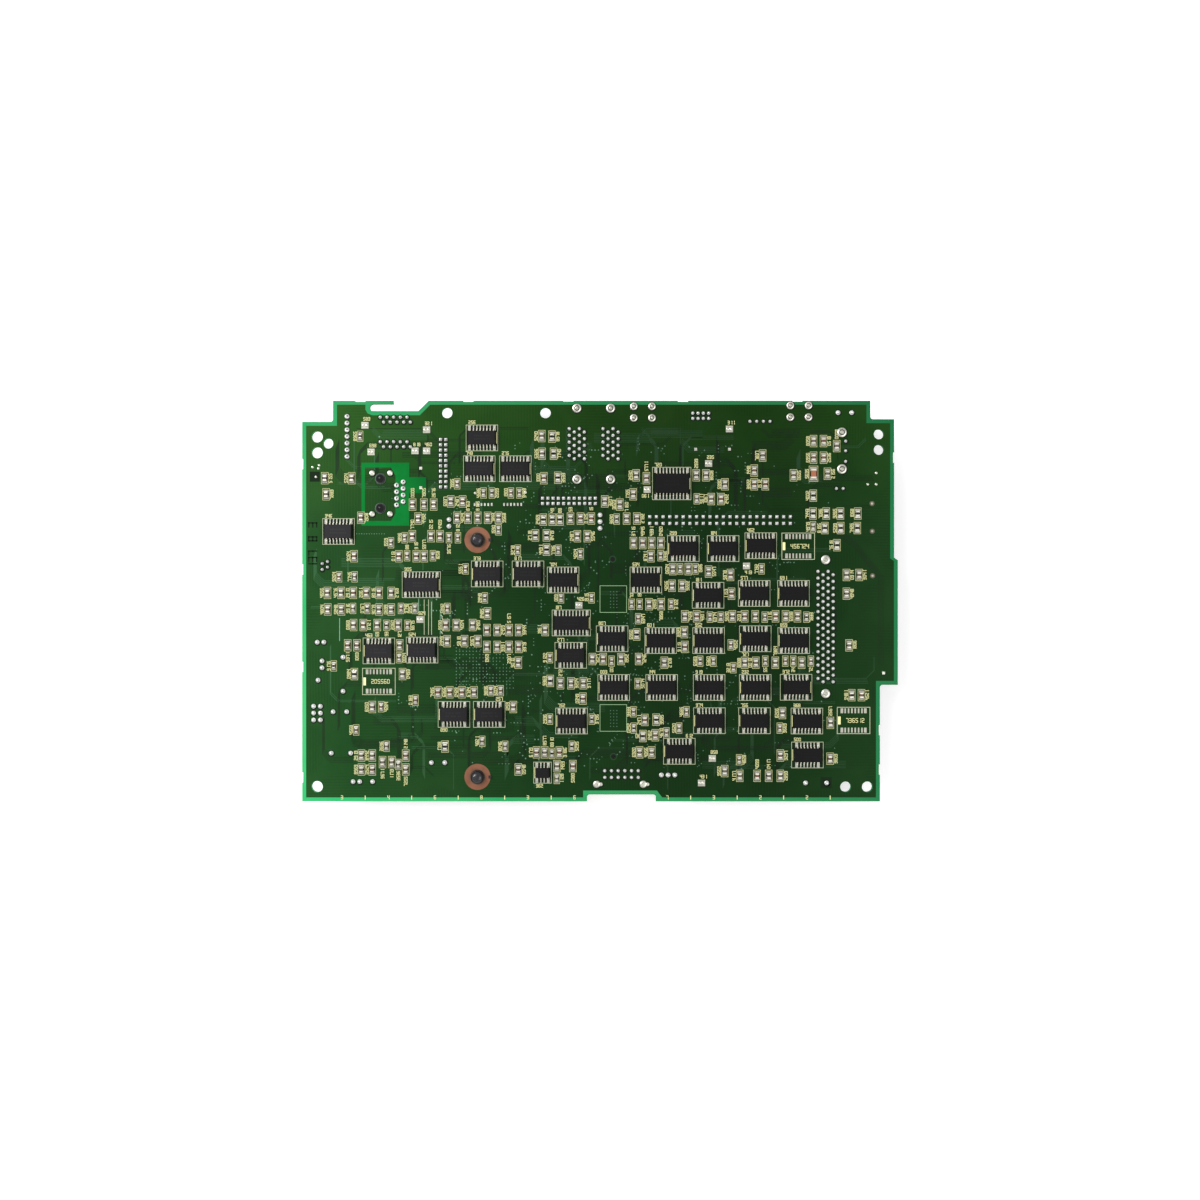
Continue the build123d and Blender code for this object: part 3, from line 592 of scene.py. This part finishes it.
# painted shade under packages and chip parts, and painted shadows to the lower right of pin ends
shade = Batch(painted_shade_and_dark_print)
labels = []             # middle and half sizes of each part that has a number, and where that goes
taken = []              # areas that are already in use
# packages with their first pin on the right, and packages with no bar beside it
MARK_RIGHT = {f"logic_chip_{i:02d}" for i in (1, 2, 3, 6, 7, 29, 36, 37, 38)}
MARK_NONE = {"logic_chip_04", "logic_chip_16"}
LOW_PACKAGE = "logic_chip_39"       # thinner than the others, so its leads leave it lower


def package_lead(x, middle_y, side, half_body, reach, wide_left, wide_right, shoulder):
    """One lead with its pad and solder. Side is 1 for the package's upper row and -1 for the lower."""
    pads.box(x - 0.22 - wide_left, middle_y + side * (reach - 1.1),
             x + 0.22 + wide_right, middle_y + side * (reach + 0.85), *PADS, pad_tin)
    # solder fillet in front of the toe
    toe = middle_y + side * reach
    fillet = [(toe - side * 0.3, TOP + 0.05), (toe + side * 0.62, TOP + 0.05),
              (toe + side * 0.25, TOP + 0.2), (toe - side * 0.05, TOP + 0.42),
              (toe - side * 0.3, TOP + 0.42)]
    leads.profile(fillet, x - 0.2 - wide_left * 0.8, x + 0.2 + wide_right * 0.8, solder, side > 0)
    # shoulder, slope and foot
    bend = [(half_body - 0.1, 1.1), (half_body + 0.35, 1.1), (half_body + 0.62, 0.24), (reach, 0.24),
            (reach, 0.05), (half_body + 0.42, 0.05), (half_body + 0.2, 0.9), (half_body - 0.1, 0.9)]
    bend = [(middle_y + side * y, TOP + min(z, shoulder)) for y, z in bend]
    leads.profile(bend, x - 0.19, x + 0.19, tin, side < 0)


def package_marks(middle_x, middle_y, length, z, end):
    """A shallow dimple by the first pin and, on a long package, two rows of plain blocks."""
    dimple_x = middle_x + end * (length / 2 - 1.3)
    chip_print.ring(dimple_x, middle_y - end * 1.4, 0.28, 0.42, z, z + 0.008, chip_mark, 16)
    if length <= 8:
        return
    for row in (-0.55, 0.65):
        start = middle_x - 2.9
        while start < middle_x + 2.9:
            width = rng.uniform(0.35, 0.6)
            chip_print.box(start, middle_y + row - 0.32, start + width, middle_y + row + 0.32,
                           z, z + 0.006, chip_mark)
            start += width + (0.22 if rng.random() < 0.8 else 0.8)


lead_boxes = islands("chip_leads")
for name in chip_names:
    x0, y0, z0, x1, y1, z1 = node_box(name)
    middle_x, middle_y = (x0 + x1) / 2, (y0 + y1) / 2
    near = ((x0 - 1, y0 - 2, x1 + 1, y1 + 2),)
    mine = [b for b in lead_boxes if within(near, *middle(b))]
    reach = max(b[4] for b in mine) - middle_y
    left_end, right_end = min(b[0] for b in mine), max(b[3] for b in mine)
    for b in mine:
        x, y = middle(b)
        # the end pads of a row are wider
        at_end = b[0] < left_end + 0.1 or b[3] > right_end - 0.1
        wide_left = 0.6 if at_end and x < middle_x else 0.0
        wide_right = 0.6 if at_end and x > middle_x else 0.0
        package_lead(x, middle_y, 1 if y > middle_y else -1, (y1 - y0) / 2, reach, wide_left,
                     wide_right, 1.0 if name == LOW_PACKAGE else 1.1)
    # printed frame round the package, with painted shade inside it between the leads and a painted
    # shadow that reaches past its right side
    half_x, half_y = (x1 - x0) / 2 + 0.9, reach + 1.0
    area = around(middle_x, middle_y, half_x, half_y)
    print_lines.outline(*area, 0.17, *PADS, ink_white)
    shade.box(area[0] + 0.3, area[1] + 0.2, area[2] + 0.5, area[3] - 0.2, *SHADE, painted_shade_and_dark_print)
    taken.append(area)
    labels.append((middle_x, middle_y, half_x, half_y, "above"))
    # bar beside the first pin
    end = 1 if name in MARK_RIGHT else -1
    bar_x = middle_x + end * (half_x - 0.42)
    if name not in MARK_NONE:
        print_lines.box(*around(bar_x, middle_y, 0.13, 2.1), *PADS, ink_bright)
    package_marks(middle_x, middle_y, x1 - x0, z1, end)
leads.make("package_leads", "tinned_lead", "chip_leads")

# ------------ chip parts
chips = Batch(tin, solder, grey_brown, brown, black_glass, orange)


def chip_part(box, body):
    """Chip part with metal ends, solder fillets, pads and a printed frame, with painted shade inside
    the frame.
    """
    x0, y0, z0, x1, y1, z1 = box
    x, y = middle(box)
    half_w, half_l, tall = (x1 - x0) / 2, (y1 - y0) / 2, z1 - z0
    cap = (0.16 if body == orange else 0.27) * half_l * 2
    chips.box(x0 + 0.03, y0 + cap, x1 - 0.03, y1 - cap, TOP + 0.05, z1 - 0.02, body)
    for side in (-1, 1):
        chips.box(x0, y + side * (half_l - cap), x1, y + side * half_l, TOP + 0.03, z1, tin)
        fillet = [(half_l - 0.02, 0.03), (half_l + 0.7, 0.03), (half_l + 0.3, 0.3 * tall),
                  (half_l + 0.08, 0.75 * tall), (half_l - 0.02, 0.8 * tall)]
        fillet = [(y + side * py, TOP + pz) for py, pz in fillet]
        chips.profile(fillet, x - (half_w + 0.36), x + (half_w + 0.36), solder, side < 0)
        pads.box(x - half_w - 0.22, y + side * (half_l - cap - 0.2),
                 x + half_w + 0.22, y + side * (half_l + 0.75), *PADS, pad_tin)
    edge_x, edge_y = half_w + 0.66, half_l + 1.18
    area = around(x, y, edge_x, edge_y)
    # painted shade round the part, inside its frame
    shade.box(area[0] + 0.1, area[1] + 0.1, area[2] - 0.1, area[3] - 0.1, *SHADE, painted_shade_and_dark_print)
    print_lines.outline(*area, 0.2, *PADS, ink)
    taken.append(area)
    labels.append((x, y, edge_x, edge_y, "beside"))


for box in islands("chip_capacitors"):
    large = box[4] - box[1] > 3
    chip_part(box, orange if large else brown if rng.random() < 0.3 else grey_brown)
for box in islands("chip_resistors"):
    chip_part(box, black_glass)
for box in islands("small_chips"):
    chip_part(box, rng.choice((grey_brown, grey_brown, brown, brown, black_glass)))
chips.make("chip_parts", "chip_ceramic", "chip_capacitors", "chip_resistors", "small_chips")

# ------------ soldered pin tails
tails = Batch(tail_solder, hole_black_and_painted_dark, pad_tin, solder)
# areas, as x0, y0, x1, y1, whose tails differ from the rest
SQUARE_ENDS = ((18, 28, 73, 33), (-23, 36, -1, 40), (-61.5, 42, -57.5, 62.5))
CLOSE_FIELDS = ((80, -34, 91, 15), (-14, 51, 10, 68), (-84.5, 57, -70, 71), (-0.5, -68, 16, -63),
                (35, 68.5, 43, 72.5))
SMALL_ENDS = ((56, 67, 66, 69.5), (88, 41, 96, 62), (-106, 11, -103, 16))
LARGE_LOBES = ((-2, -70, -1, -69), (16, -70, 17, -69))
RING_ENDS = ((-97, 53, -95, 71), (-78.5, 35, -74, 46.5))


def open_barrel(x, y):
    """A ring of solder with the end of the pin set back in it, its recess painted dark as shade, and a
    painted shadow to its lower right.
    """
    shade.turned(x + 0.15, y - 0.15, [(1.1, SHADE0), (1.05, SHADE1)], painted_shade_and_dark_print, 18, False)
    tails.ring(x, y, 0.34, 0.92, PAD0, TOP + 0.12, tail_solder, 18, True)
    tails.turned(x - 0.05, y - 0.05, [(0.86, TOP + 0.1), (0.8, TOP + 0.3), (0.5, TOP + 0.55),
                                      (0.4, TOP + 0.56)], tail_solder, 16)
    tails.turned(x + 0.1, y + 0.1, [(0.33, TOP + 0.5), (0.33, TOP + 0.575)], hole_black_and_painted_dark, 12, False)


def square_end(x, y):
    """A square pad with a low cone of solder, a painted shadow to its lower right and a painted dark
    reflection on its tip.
    """
    shade.box(x - 0.85, y - 0.95, x + 0.95, y + 0.85, *SHADE, painted_shade_and_dark_print)
    tails.box(*around(x, y, 0.54, 0.54), PAD0, TOP + 0.1, tail_solder)
    tails.turned(x, y, [(0.54, TOP + 0.08), (0.46, TOP + 0.25), (0.36, TOP + 0.7),
                        (0.3, TOP + 0.95), (0.2, TOP + 1.0)], tail_solder, 8)
    # painted dark reflection on the tip
    tails.box(x + 0.12, y - 0.38, x + 0.34, y - 0.14, TOP + 0.9, TOP + 1.02, hole_black_and_painted_dark)


def round_end(x, y, grow):
    """A cone of solder round a thin pin, with a painted shadow to its lower right."""
    tails.turned(x, y, [(0.8 * grow, PAD0), (0.78 * grow, TOP + 0.08), (0.64 * grow, TOP + 0.19),
                        (0.46 * grow, TOP + 0.3), (0.4 * grow, TOP + 0.85), (0.26, TOP + 1.0)],
                 tail_solder, 14)
    # painted shadow, offset to the lower right
    dark = 1.12 * max(grow, 1.0)
    shade.turned(x + 0.12, y - 0.12, [(dark, SHADE0), (dark - 0.02, SHADE1)], painted_shade_and_dark_print, 14, False)


def board_lock(x, y, broad, stub, dark_ring):
    """A broad dish of solder, with a stub in it if the pin is thick, a painted shadow to its lower
    right and a dark outline of painted shade round it.
    """
    shade.turned(x + 0.2, y - 0.2, [(broad + 0.25, SHADE0), (broad + 0.2, SHADE1)], painted_shade_and_dark_print, 22,
                 False)
    tails.turned(x, y, [(broad + 0.15, TOP + 0.02), (broad + 0.1, TOP + 0.035)], hole_black_and_painted_dark, 20, False)
    tails.turned(x, y, [(broad, PAD0), (broad * 0.97, TOP + 0.12), (broad * 0.82, TOP + 0.3),
                        (broad * 0.55, TOP + 0.36), (broad * 0.5, TOP + 0.36)], solder, 22)
    if stub:
        tails.turned(x, y, [(broad * 0.46, TOP + 0.3), (broad * 0.44, TOP + 0.55),
                            (broad * 0.3, TOP + 0.7)], pad_tin, 16)
    if stub and dark_ring:
        tails.ring(x, y, broad * 0.46, broad * 0.6, TOP + 0.3, TOP + 0.375, hole_black_and_painted_dark, 20)


for box in islands("pin_tails"):
    x, y = middle(box)
    wide, tall = (box[3] - box[0]) / 2, box[5] - box[2] > 1.2
    if tall and within(RING_ENDS, x, y):
        open_barrel(x, y)
    elif tall and within(SQUARE_ENDS, x, y):
        square_end(x, y)
    elif tall:
        grow = 0.78 if within(CLOSE_FIELDS, x, y) else 0.72 if within(SMALL_ENDS, x, y) else 1.12
        round_end(x, y, grow)
    else:
        broad = 1.4 if within(LARGE_LOBES, x, y) else 0.75 if y < -69 else wide * 1.85
        board_lock(x, y, broad, wide > 0.62, x < 80 or x > 90)
tails.make("solder_joints", "solder", "pin_tails")

# ------------ rings and bare pads
# copper round each spacer, with a dark gap of painted shade round its head and a stain next to its neck
for x, y in ((-46.5, 23.2), (-46.5, -66.7)):
    pads.ring(x, y, 2.95, 4.95, *PADS, copper, 40)
    pads.ring(x, y, 2.5, 2.72, PAD0, PAD1 + 0.01, hole_black_and_painted_dark, 40)
    pads.ring(x, y, 2.72, 2.95, PAD0, PAD1 + 0.01, flux_stain, 40)
    taken.append(around(x, y, 5, 5))
# the jack's two posts: a grey ring, a dark end and a small painted highlight
for x, y in ((-83.3, 35.2), (-83.3, 46.4)):
    pads.ring(x, y, 1.66, 2.1, PAD0, TOP + 0.2, grey_ring_and_glint, 28, True)
    pads.turned(x, y, [(1.45, TOP + 0.7), (1.4, TOP + 0.715)], hole_black_and_painted_dark, 24, False)
    pads.turned(x - 0.3, y + 0.3, [(0.34, TOP + 0.71), (0.3, TOP + 0.8), (0.1, TOP + 0.85)], grey_ring_and_glint)

# test pads with two domes of solder
for x, y in ((-89.2, 66.7), (-86.9, 56.6), (-65.8, 65.0), (-70.2, 57.0), (-65.8, 57.0),
             (-68.3, -7.0), (17.9, 42.3), (41.2, 52.2), (49.1, 65.3), (42.6, -59.7),
             (38.5, -69.0), (55.6, 13.3), (-8.0, -1.6)):
    pads.box(*around(x, y, 1.35, 1.25), *PADS, pad_tin)
    for side in (-1, 1):
        pads.turned(x + side * 0.62, y, [(0.62, PAD1), (0.55, TOP + 0.16), (0.3, TOP + 0.26)], solder)
    taken.append(around(x, y, 1.6, 1.6))
    labels.append((x, y, 1.5, 1.4, "above"))
# small square pads, and round ones
for x, y in ((-68.0, 50.4), (-68.0, 43.0), (36.3, 57.6), (49.1, 57.6), (107.6, -27.3)):
    pads.box(*around(x, y, 0.52, 0.52), PAD0, TOP + 0.12, solder)
for x, y in ((104.8, 48.6), (101.6, 44.3), (104.8, 44.3), (-109.1, 50.8), (-106.6, 51.5),
             (-106.9, 50.3), (-107.8, 47.1), (-47.4, 41.0), (-28.3, 41.3)):
    pads.turned(x, y, [(0.5, PAD0), (0.45, TOP + 0.12), (0.2, TOP + 0.16)], solder)
# stained rings near the right edge
for x, y in ((103.4, 9.6), (103.2, 37.0), (103.3, 26.5)):
    pads.ring(x, y, 0.45, 0.95, *PADS, flux_stain, 18)
    pads.turned(x, y, [(0.45, PAD0), (0.4, PAD1)], pad_tin, smooth=False)
# two groups of six narrow pads
for start in (-47.6, -36.4):
    for index in range(6):
        x = start + index * 1.3
        pads.box(x - 0.3, 36.1, x + 0.3, 37.2, PAD0, TOP + 0.1, solder)

# footprints with no package on them
for x, y in ((75.2, 20.8), (-83.9, -30.5), (96.2, -45.3)):
    for side in (-1, 1):
        for index in range(8):
            lead_x = x + (index - 3.5) * PITCH
            half = 0.5 if index in (0, 7) else 0.29
            pads.box(lead_x - half, y + side * 2.75, lead_x + half, y + side * 4.6, PAD0, TOP + 0.09,
                     pad_tin)
    print_lines.outline(*around(x, y, 6.2, 5.0), 0.22, *PADS, ink_white)
    print_lines.box(x - 5.9, y - 1.5, x - 4.9, y + 1.5, *PADS, ink_bright)
    taken.append(around(x, y, 6.3, 5.1))
    labels.append((x, y, 0, 0, "inside"))
SQUARE_SITES = (0.65, -44.45)       # Y of the two square footprints
for y in SQUARE_SITES:
    print_lines.outline(0.0, y - 4.95, 10.1, y + 5.15, 0.2, *PADS, ink_green)
    taken.append((0, y - 5, 10, y + 5))

# two dark squares, and the two locating holes of the card socket
for x, y, half in ((85.8, -68.9, 2.1), (-108.2, 47.2, 1.9)):
    shade.box(*around(x, y, half, half), *SHADE, painted_shade_and_dark_print)
for x, y in ((4.8, 15.9), (5.1, -59.0)):
    pads.ring(x, y, 0.95, 1.35, PAD0 - 0.006, PAD0 + 0.004, trace_light, 24)
    pads.turned(x, y, [(0.85, PAD0), (0.8, PAD1)], hole_black_and_painted_dark, 20, False)

# ------------ printed numbers
# strokes on a grid one wide and two high, and the ten figures that they make
STROKES = {
    "a": ((0, 2), (1, 2)), "b": ((1, 1), (1, 2)), "c": ((1, 0), (1, 1)), "d": ((0, 0), (1, 0)),
    "e": ((0, 0), (0, 1)), "f": ((0, 1), (0, 2)), "g": ((0, 1), (1, 1)),
}
FIGURES = ("abcdef", "bc", "abged", "abgcd", "fgbc", "afgcd", "afgedc", "abc", "abcdefg", "abcfgd")


def figures(x, y, count, height, upright, finish, stroke_width=0.2):
    """A short plain number, centred on a point. An upright one runs along Y."""
    wide, gap = height * 0.5, height * 0.3
    length = count * wide + (count - 1) * gap
    for place in range(count):
        left = -length / 2 + place * (wide + gap)
        for stroke in FIGURES[rng.randrange(len(FIGURES))]:
            ends = []
            for u, v in STROKES[stroke]:
                along, across = left + u * wide, (v - 1) * height / 2
                ends += [x - across, y + along] if upright else [x + along, y + across]
            print_lines.bar(*ends, stroke_width, *PADS, finish)


# ticks and numbers in turn along the front edge, except at the notch
for index in range(22):
    tick_x = -97.9 + 8.82 * index
    if -6 < tick_x < 22:
        continue
    if index % 2:
        print_lines.box(tick_x - 0.13, -75.3, tick_x + 0.13, -73.8, *PADS, ink_bright)
    else:
        figures(tick_x, -74.5, 1, 1.3, False, ink_bright)
# large dark figures by the left edge
for y, count in ((15.8, 3), (23.6, 1), (28.9, 1)):
    figures(-109.0, y, count, 3.0, True, painted_shade_and_dark_print, 0.5)


def clear(area):
    """True where an area lies on the board and touches nothing that is in use."""
    x0, y0, x1, y1 = area
    if x0 < -111 or x1 > 110 or y0 < -74 or y1 > 74:
        return False
    return not any(a < x1 and b < y1 and c > x0 and d > y0 for a, b, c, d in taken)


for x0, y0, z0, x1, y1, z1 in islands("pin_tails"):
    taken.append((x0 - 0.3, y0 - 0.3, x1 + 0.3, y1 + 0.3))
for x, y, radius in HOLES:
    taken.append(around(x, y, radius + 0.5, radius + 0.5))

# chip parts whose number goes on the right, above or below; the others have it on the left
LEFT, RIGHT, ABOVE, BELOW = (-1, 0), (1, 0), (0, 1), (0, -1)
SIDES = {
    RIGHT: (
        (-104.4, 46.6), (-103.9, 40.5), (-90.7, 31.6), (-69, 31.3), (-38.5, 31.6), (-18.2, 62.4),
        (-17.6, 55.9), (-16, 46.8), (-20.3, 24.9), (-15.2, 30.9), (-11.2, 31.3), (-3.3, 31.3),
        (-4.8, 24.6), (-79.2, 3.1), (-79.2, -3.2), (-54.5, -9.1), (-48.3, -9.1), (-3.1, -44.8),
        (-15.4, -57.4), (-10.7, -55.1), (-31, -63.9), (-16.3, -62.6), (-16.4, -67.3),
        (10.1, 31.3), (14, 31.3), (45.9, 38.7), (36.2, 12.2), (41.2, 11.2), (31.1, 5.8),
        (14.5, -6.7), (36.7, -5.8), (41.7, -6.1), (45.8, -6.1), (27, -1.2), (23.2, -1.2),
        (18.6, -1.2), (32.2, -5.8), (8, -22), (14.7, -22), (24.4, -23.4), (14.3, -31.3),
        (21.3, -45), (52.8, -60.2), (68.2, -48.2), (68.4, -58.6), (87.3, -59.8), (68.4, -66.3),
        (94.5, -16.8), (99.2, -35.7), (93.5, 9.9), (98.3, 9.9), (93.5, 2.8), (84.8, 60.7),
        (84.8, 54.4), (89.8, 58.8), (86.3, 48.3), (73.4, 47.7),
    ),
    ABOVE: (
        (-71.1, 36.6), (-66.8, 36.6), (-63.1, 36.6), (-71.2, 24.6), (-64.1, 24.6), (-60.7, 24.6),
        (-69.7, 17), (-66.7, 17), (-18.1, 30.9), (12.7, 22), (16.2, 22), (19.6, 22),
        (-21, -57.4), (-18.2, -57.8), (59.6, -66.3), (87.4, -46.2), (-73.7, -58.6), (64, -66.3),
    ),
    BELOW: (
        (-50.1, 31.6), (-46.4, 31.6), (-42.6, 31.6), (-95.7, -16.8), (-92.2, -16.8),
        (-76, -16.8), (-10.3, -62.6), (-82.5, -61.1), (-79, -61.1), (-76.5, -62), (-73.7, -63.9),
    ),
}


def label_side(x, y):
    """The side of a chip part that its number is on."""
    for side, places in SIDES.items():
        if any(abs(x - px) < 0.8 and abs(y - py) < 0.8 for px, py in places):
            return side
    return LEFT


def label_places(x, y, half_w, half_h, where):
    """Places to try for a part's number, best first: middle, upright or not, and how many figures."""
    if where == "above":
        return [(x + sx * (half_w - 2.2), y + sy * (half_h + 1.0), False, 3)
                for sy in (1, -1) for sx in (-1, 1)]
    first = label_side(x, y)
    order = [first] + [side for side in (LEFT, RIGHT, ABOVE, BELOW) if side != first]
    return [(x + sx * (half_w + 0.85), y + sy * (half_h + count * 0.5 + 0.3), True, count)
            for sx, sy in order for count in (4, 3, 2)]


for x, y, half_w, half_h, where in labels:
    if where == "inside":
        figures(x + 0.6, y, 6, 1.5, False, ink_bright)
        continue
    for lx, ly, upright, count in label_places(x, y, half_w, half_h, where):
        halves = (0.62, count * 0.48) if upright else (count * 0.48, 0.62)
        area = around(lx, ly, *halves)
        if clear(area):
            figures(lx, ly, count, 1.15, upright, ink_bright)
            taken.append(area)
            break

# ------------ tented vias
LOOSE_ROWS = 760        # rows that are tried; many find no room
vias = Batch(via_metal)


def via_dome(x, y, radius):
    """One low dome of mask over a via."""
    vias.turned(x, y, [(radius, PAD0 - 0.005), (radius * 0.7, PAD1)], via_metal, 6, False)


def via(x, y, radius):
    """A via, where nothing else is in its way."""
    if clear(around(x, y, 0.3, 0.3)):
        via_dome(x, y, radius)


# a close field opposite the processor, and one row near the jack
for column in range(18):
    for row in range(13):
        if rng.random() < 0.8:
            via(-54.5 + column * PITCH, -33.0 + row * PITCH, 0.2)
for column in range(12):
    via(-92.3 + column * 0.95, 25.5, 0.17)
# loose rows of one to four
for _ in range(LOOSE_ROWS):
    x, y = rng.triangular(-92, 92, 10), rng.uniform(-64, 60)
    across, down = rng.choice(((PITCH, 0), (0, PITCH), (1.0, 1.0), (PITCH, 0), (1.1, -1.1)))
    for index in range(rng.choice((1, 1, 1, 2, 2, 3, 4))):
        via(x + index * across, y + index * down, rng.choice((0.16, 0.2, 0.24, 0.3)))
# three columns in each square footprint
for x in (4.0, 5.2, 6.4):
    for y in SQUARE_SITES:
        for row in range(6):
            via_dome(x, y - 3.1 + row * 1.2, 0.2)
vias.make("tented_vias", "board")

# ------------ copper traces under the mask
BUNDLES = 210
LINE_STEP = 0.62        # between the lines of a bundle
traces = Batch(trace_dark, trace_light, via_metal)
trace_numbers = itertools.count(1)


def trace(x0, y0, x1, y1, width, finish):
    """One bar of copper, at one of nine heights so that crossings seldom share a face."""
    top = TOP + 0.0125 + 0.0008 * (next(trace_numbers) % 9)
    traces.bar(x0, y0, x1, y1, width, TOP + 0.008, top, finish)


# bundles that run along X, turn through a short slope, and go on along Y
for _ in range(BUNDLES):
    x, y = rng.uniform(-100, 95), rng.uniform(-66, 66)
    run, rise = rng.uniform(6, 26) * rng.choice((-1, 1)), rng.uniform(4, 18) * rng.choice((-1, 1))
    across = 1 if run > 0 else -1
    corner = min(abs(rise), 3.0) * (1 if rise > 0 else -1)
    finish = trace_dark if rng.random() < 0.62 else trace_light
    for line in range(rng.randint(2, 6)):
        shift = line * LINE_STEP
        start = (x, y + shift)
        bend = (x + run - shift * across * 0.4, y + shift)
        turn = (bend[0] + abs(corner) * across, bend[1] + corner)
        end = (turn[0], turn[1] + rise)
        for (x0, y0), (x1, y1) in ((start, bend), (bend, turn), (turn, end)):
            if all(-110 < v < 104 for v in (x0, x1)) and all(-72 < v < 66 for v in (y0, y1)):
                trace(x0, y0, x1, y1, 0.24, finish)
# single lines along Y, pale on the left and dark on the right
for x, y0, y1 in ((-68.8, 0.8, -3.6), (-60.6, -3.4, -15.0), (-98.8, -6.6, -15.0),
                  (107.4, 8.0, -24.0), (106.6, 8.4, -24.0), (105.8, 8.8, -24.0)):
    trace(x, y0, x, y1, 0.26, via_metal if x < 0 else trace_dark)
# three white lines and a column of short dashes between two packages
for x, y0, y1 in ((-66.7, 0.6, -12.8), (-65.05, 0.6, -12.8), (-63.9, -0.2, -12.8)):
    print_lines.box(x - 0.1, y1, x + 0.1, y0, *PADS, ink_white)
for index in range(9):
    x, y = -60.0 + 0.35 * math.sin(index * 2.1), -3.2 - index * 1.05
    print_lines.bar(x, y, x + 0.5, y - 0.7, 0.3, *PADS, ink_white)
# four broad lines with one bend near the right edge
for line in range(4):
    shift = line * 0.85
    trace(90.0, 27.5 - shift, 97.0, 22.5 - shift, 0.3, trace_dark)
    trace(97.0, 22.5 - shift, 107.6 - shift, 8.8, 0.3, trace_dark)
traces.make("buried_traces", "board")

shade.make("package_shade", "board")
pads.make("bare_pads", "solder")
print_lines.make("printed_frames", "board")
chip_print.make("package_marks", "chip_body")

# strip round the modular jack where the inner planes stop
zone = [(-90.5, 28.6), (-72.4, 28.6), (-72.4, 41.0), (-66.0, 41.0), (-66.0, 47.0), (-72.4, 47.0),
        (-72.4, 52.5), (-90.5, 52.5)]
inner_zone = [(-89.2, 30.4), (-89.2, 50.7), (-79.3, 50.7), (-77.6, 47.5), (-77.6, 33.2),
              (-79.3, 30.4)]
flat_sheet("isolation_zone", [zone, inner_zone], TOP + 0.012, TOP + 0.021, zone_green)

# ------------ floor, light and camera
FLOOR_GLOW = 0.32       # added to the floor for the camera only, so that it shows white
floor_mesh = bpy.data.meshes.new("floor")
floor_mesh.from_pydata([(-3, -3, 0), (3, -3, 0), (3, 3, 0), (-3, 3, 0)], [], [(0, 1, 2, 3)])
floor = bpy.data.objects.new("floor", floor_mesh)
bpy.context.scene.collection.objects.link(floor)
paint = material("floor_paint", (0.88, 0.88, 0.88), (0.9, 0.9, 0.9), 0.9, blotch=3, grain=400,
                 bump=0.02)
nodes, links = paint.node_tree.nodes, paint.node_tree.links
lift = add_node(nodes, "Emission", {"Color": (1, 1, 1, 1)})
rays = add_node(nodes, "LightPath")
amount = add_node(nodes, "Math", {1: FLOOR_GLOW}, operation="MULTIPLY")
links.new(rays.outputs["Is Camera Ray"], amount.inputs[0])
links.new(amount.outputs["Value"], lift.inputs["Strength"])
both = add_node(nodes, "AddShader")
links.new(nodes["Principled BSDF"].outputs["BSDF"], both.inputs[0])
links.new(lift.outputs["Emission"], both.inputs[1])
links.new(both.outputs["Shader"], nodes["Material Output"].inputs["Surface"])
floor_mesh.materials.append(paint)


def soft_light(name, place, size, power):
    """A square lamp that points at the middle of the board."""
    data = bpy.data.lights.new(name, "AREA")
    data.shape = "SQUARE"
    data.size = size
    data.energy = power
    lamp = bpy.data.objects.new(name, data)
    lamp.location = place
    lamp.rotation_euler = (-Vector(place)).to_track_quat("-Z", "Y").to_euler()
    bpy.context.scene.collection.objects.link(lamp)


soft_light("key_light", (-0.9, 0.5, 1.1), size=0.9, power=22)
soft_light("fill_light", (0.9, -0.4, 1.2), size=1.2, power=10)
scene = bpy.context.scene
world = bpy.data.worlds.new("studio")
world.use_nodes = True
set_inputs(world.node_tree.nodes["Background"], {"Color": (1, 1, 1, 1), "Strength": 0.55})
scene.world = world
scene.view_settings.view_transform = "Standard"

SENSOR = 36             # mm
DISTANCE = 0.5          # metres from the camera to the board
VIEW_WIDTH = 0.4553     # metres of the board's plane that the view takes in
CAMERA_Y = 0.0004       # metres
camera_data = bpy.data.cameras.new("camera")
camera_data.sensor_width = SENSOR
camera_data.lens = SENSOR * DISTANCE / VIEW_WIDTH
camera = bpy.data.objects.new("camera", camera_data)
camera.location = (0, CAMERA_Y, TOP * MM + DISTANCE)
scene.collection.objects.link(camera)
scene.camera = camera
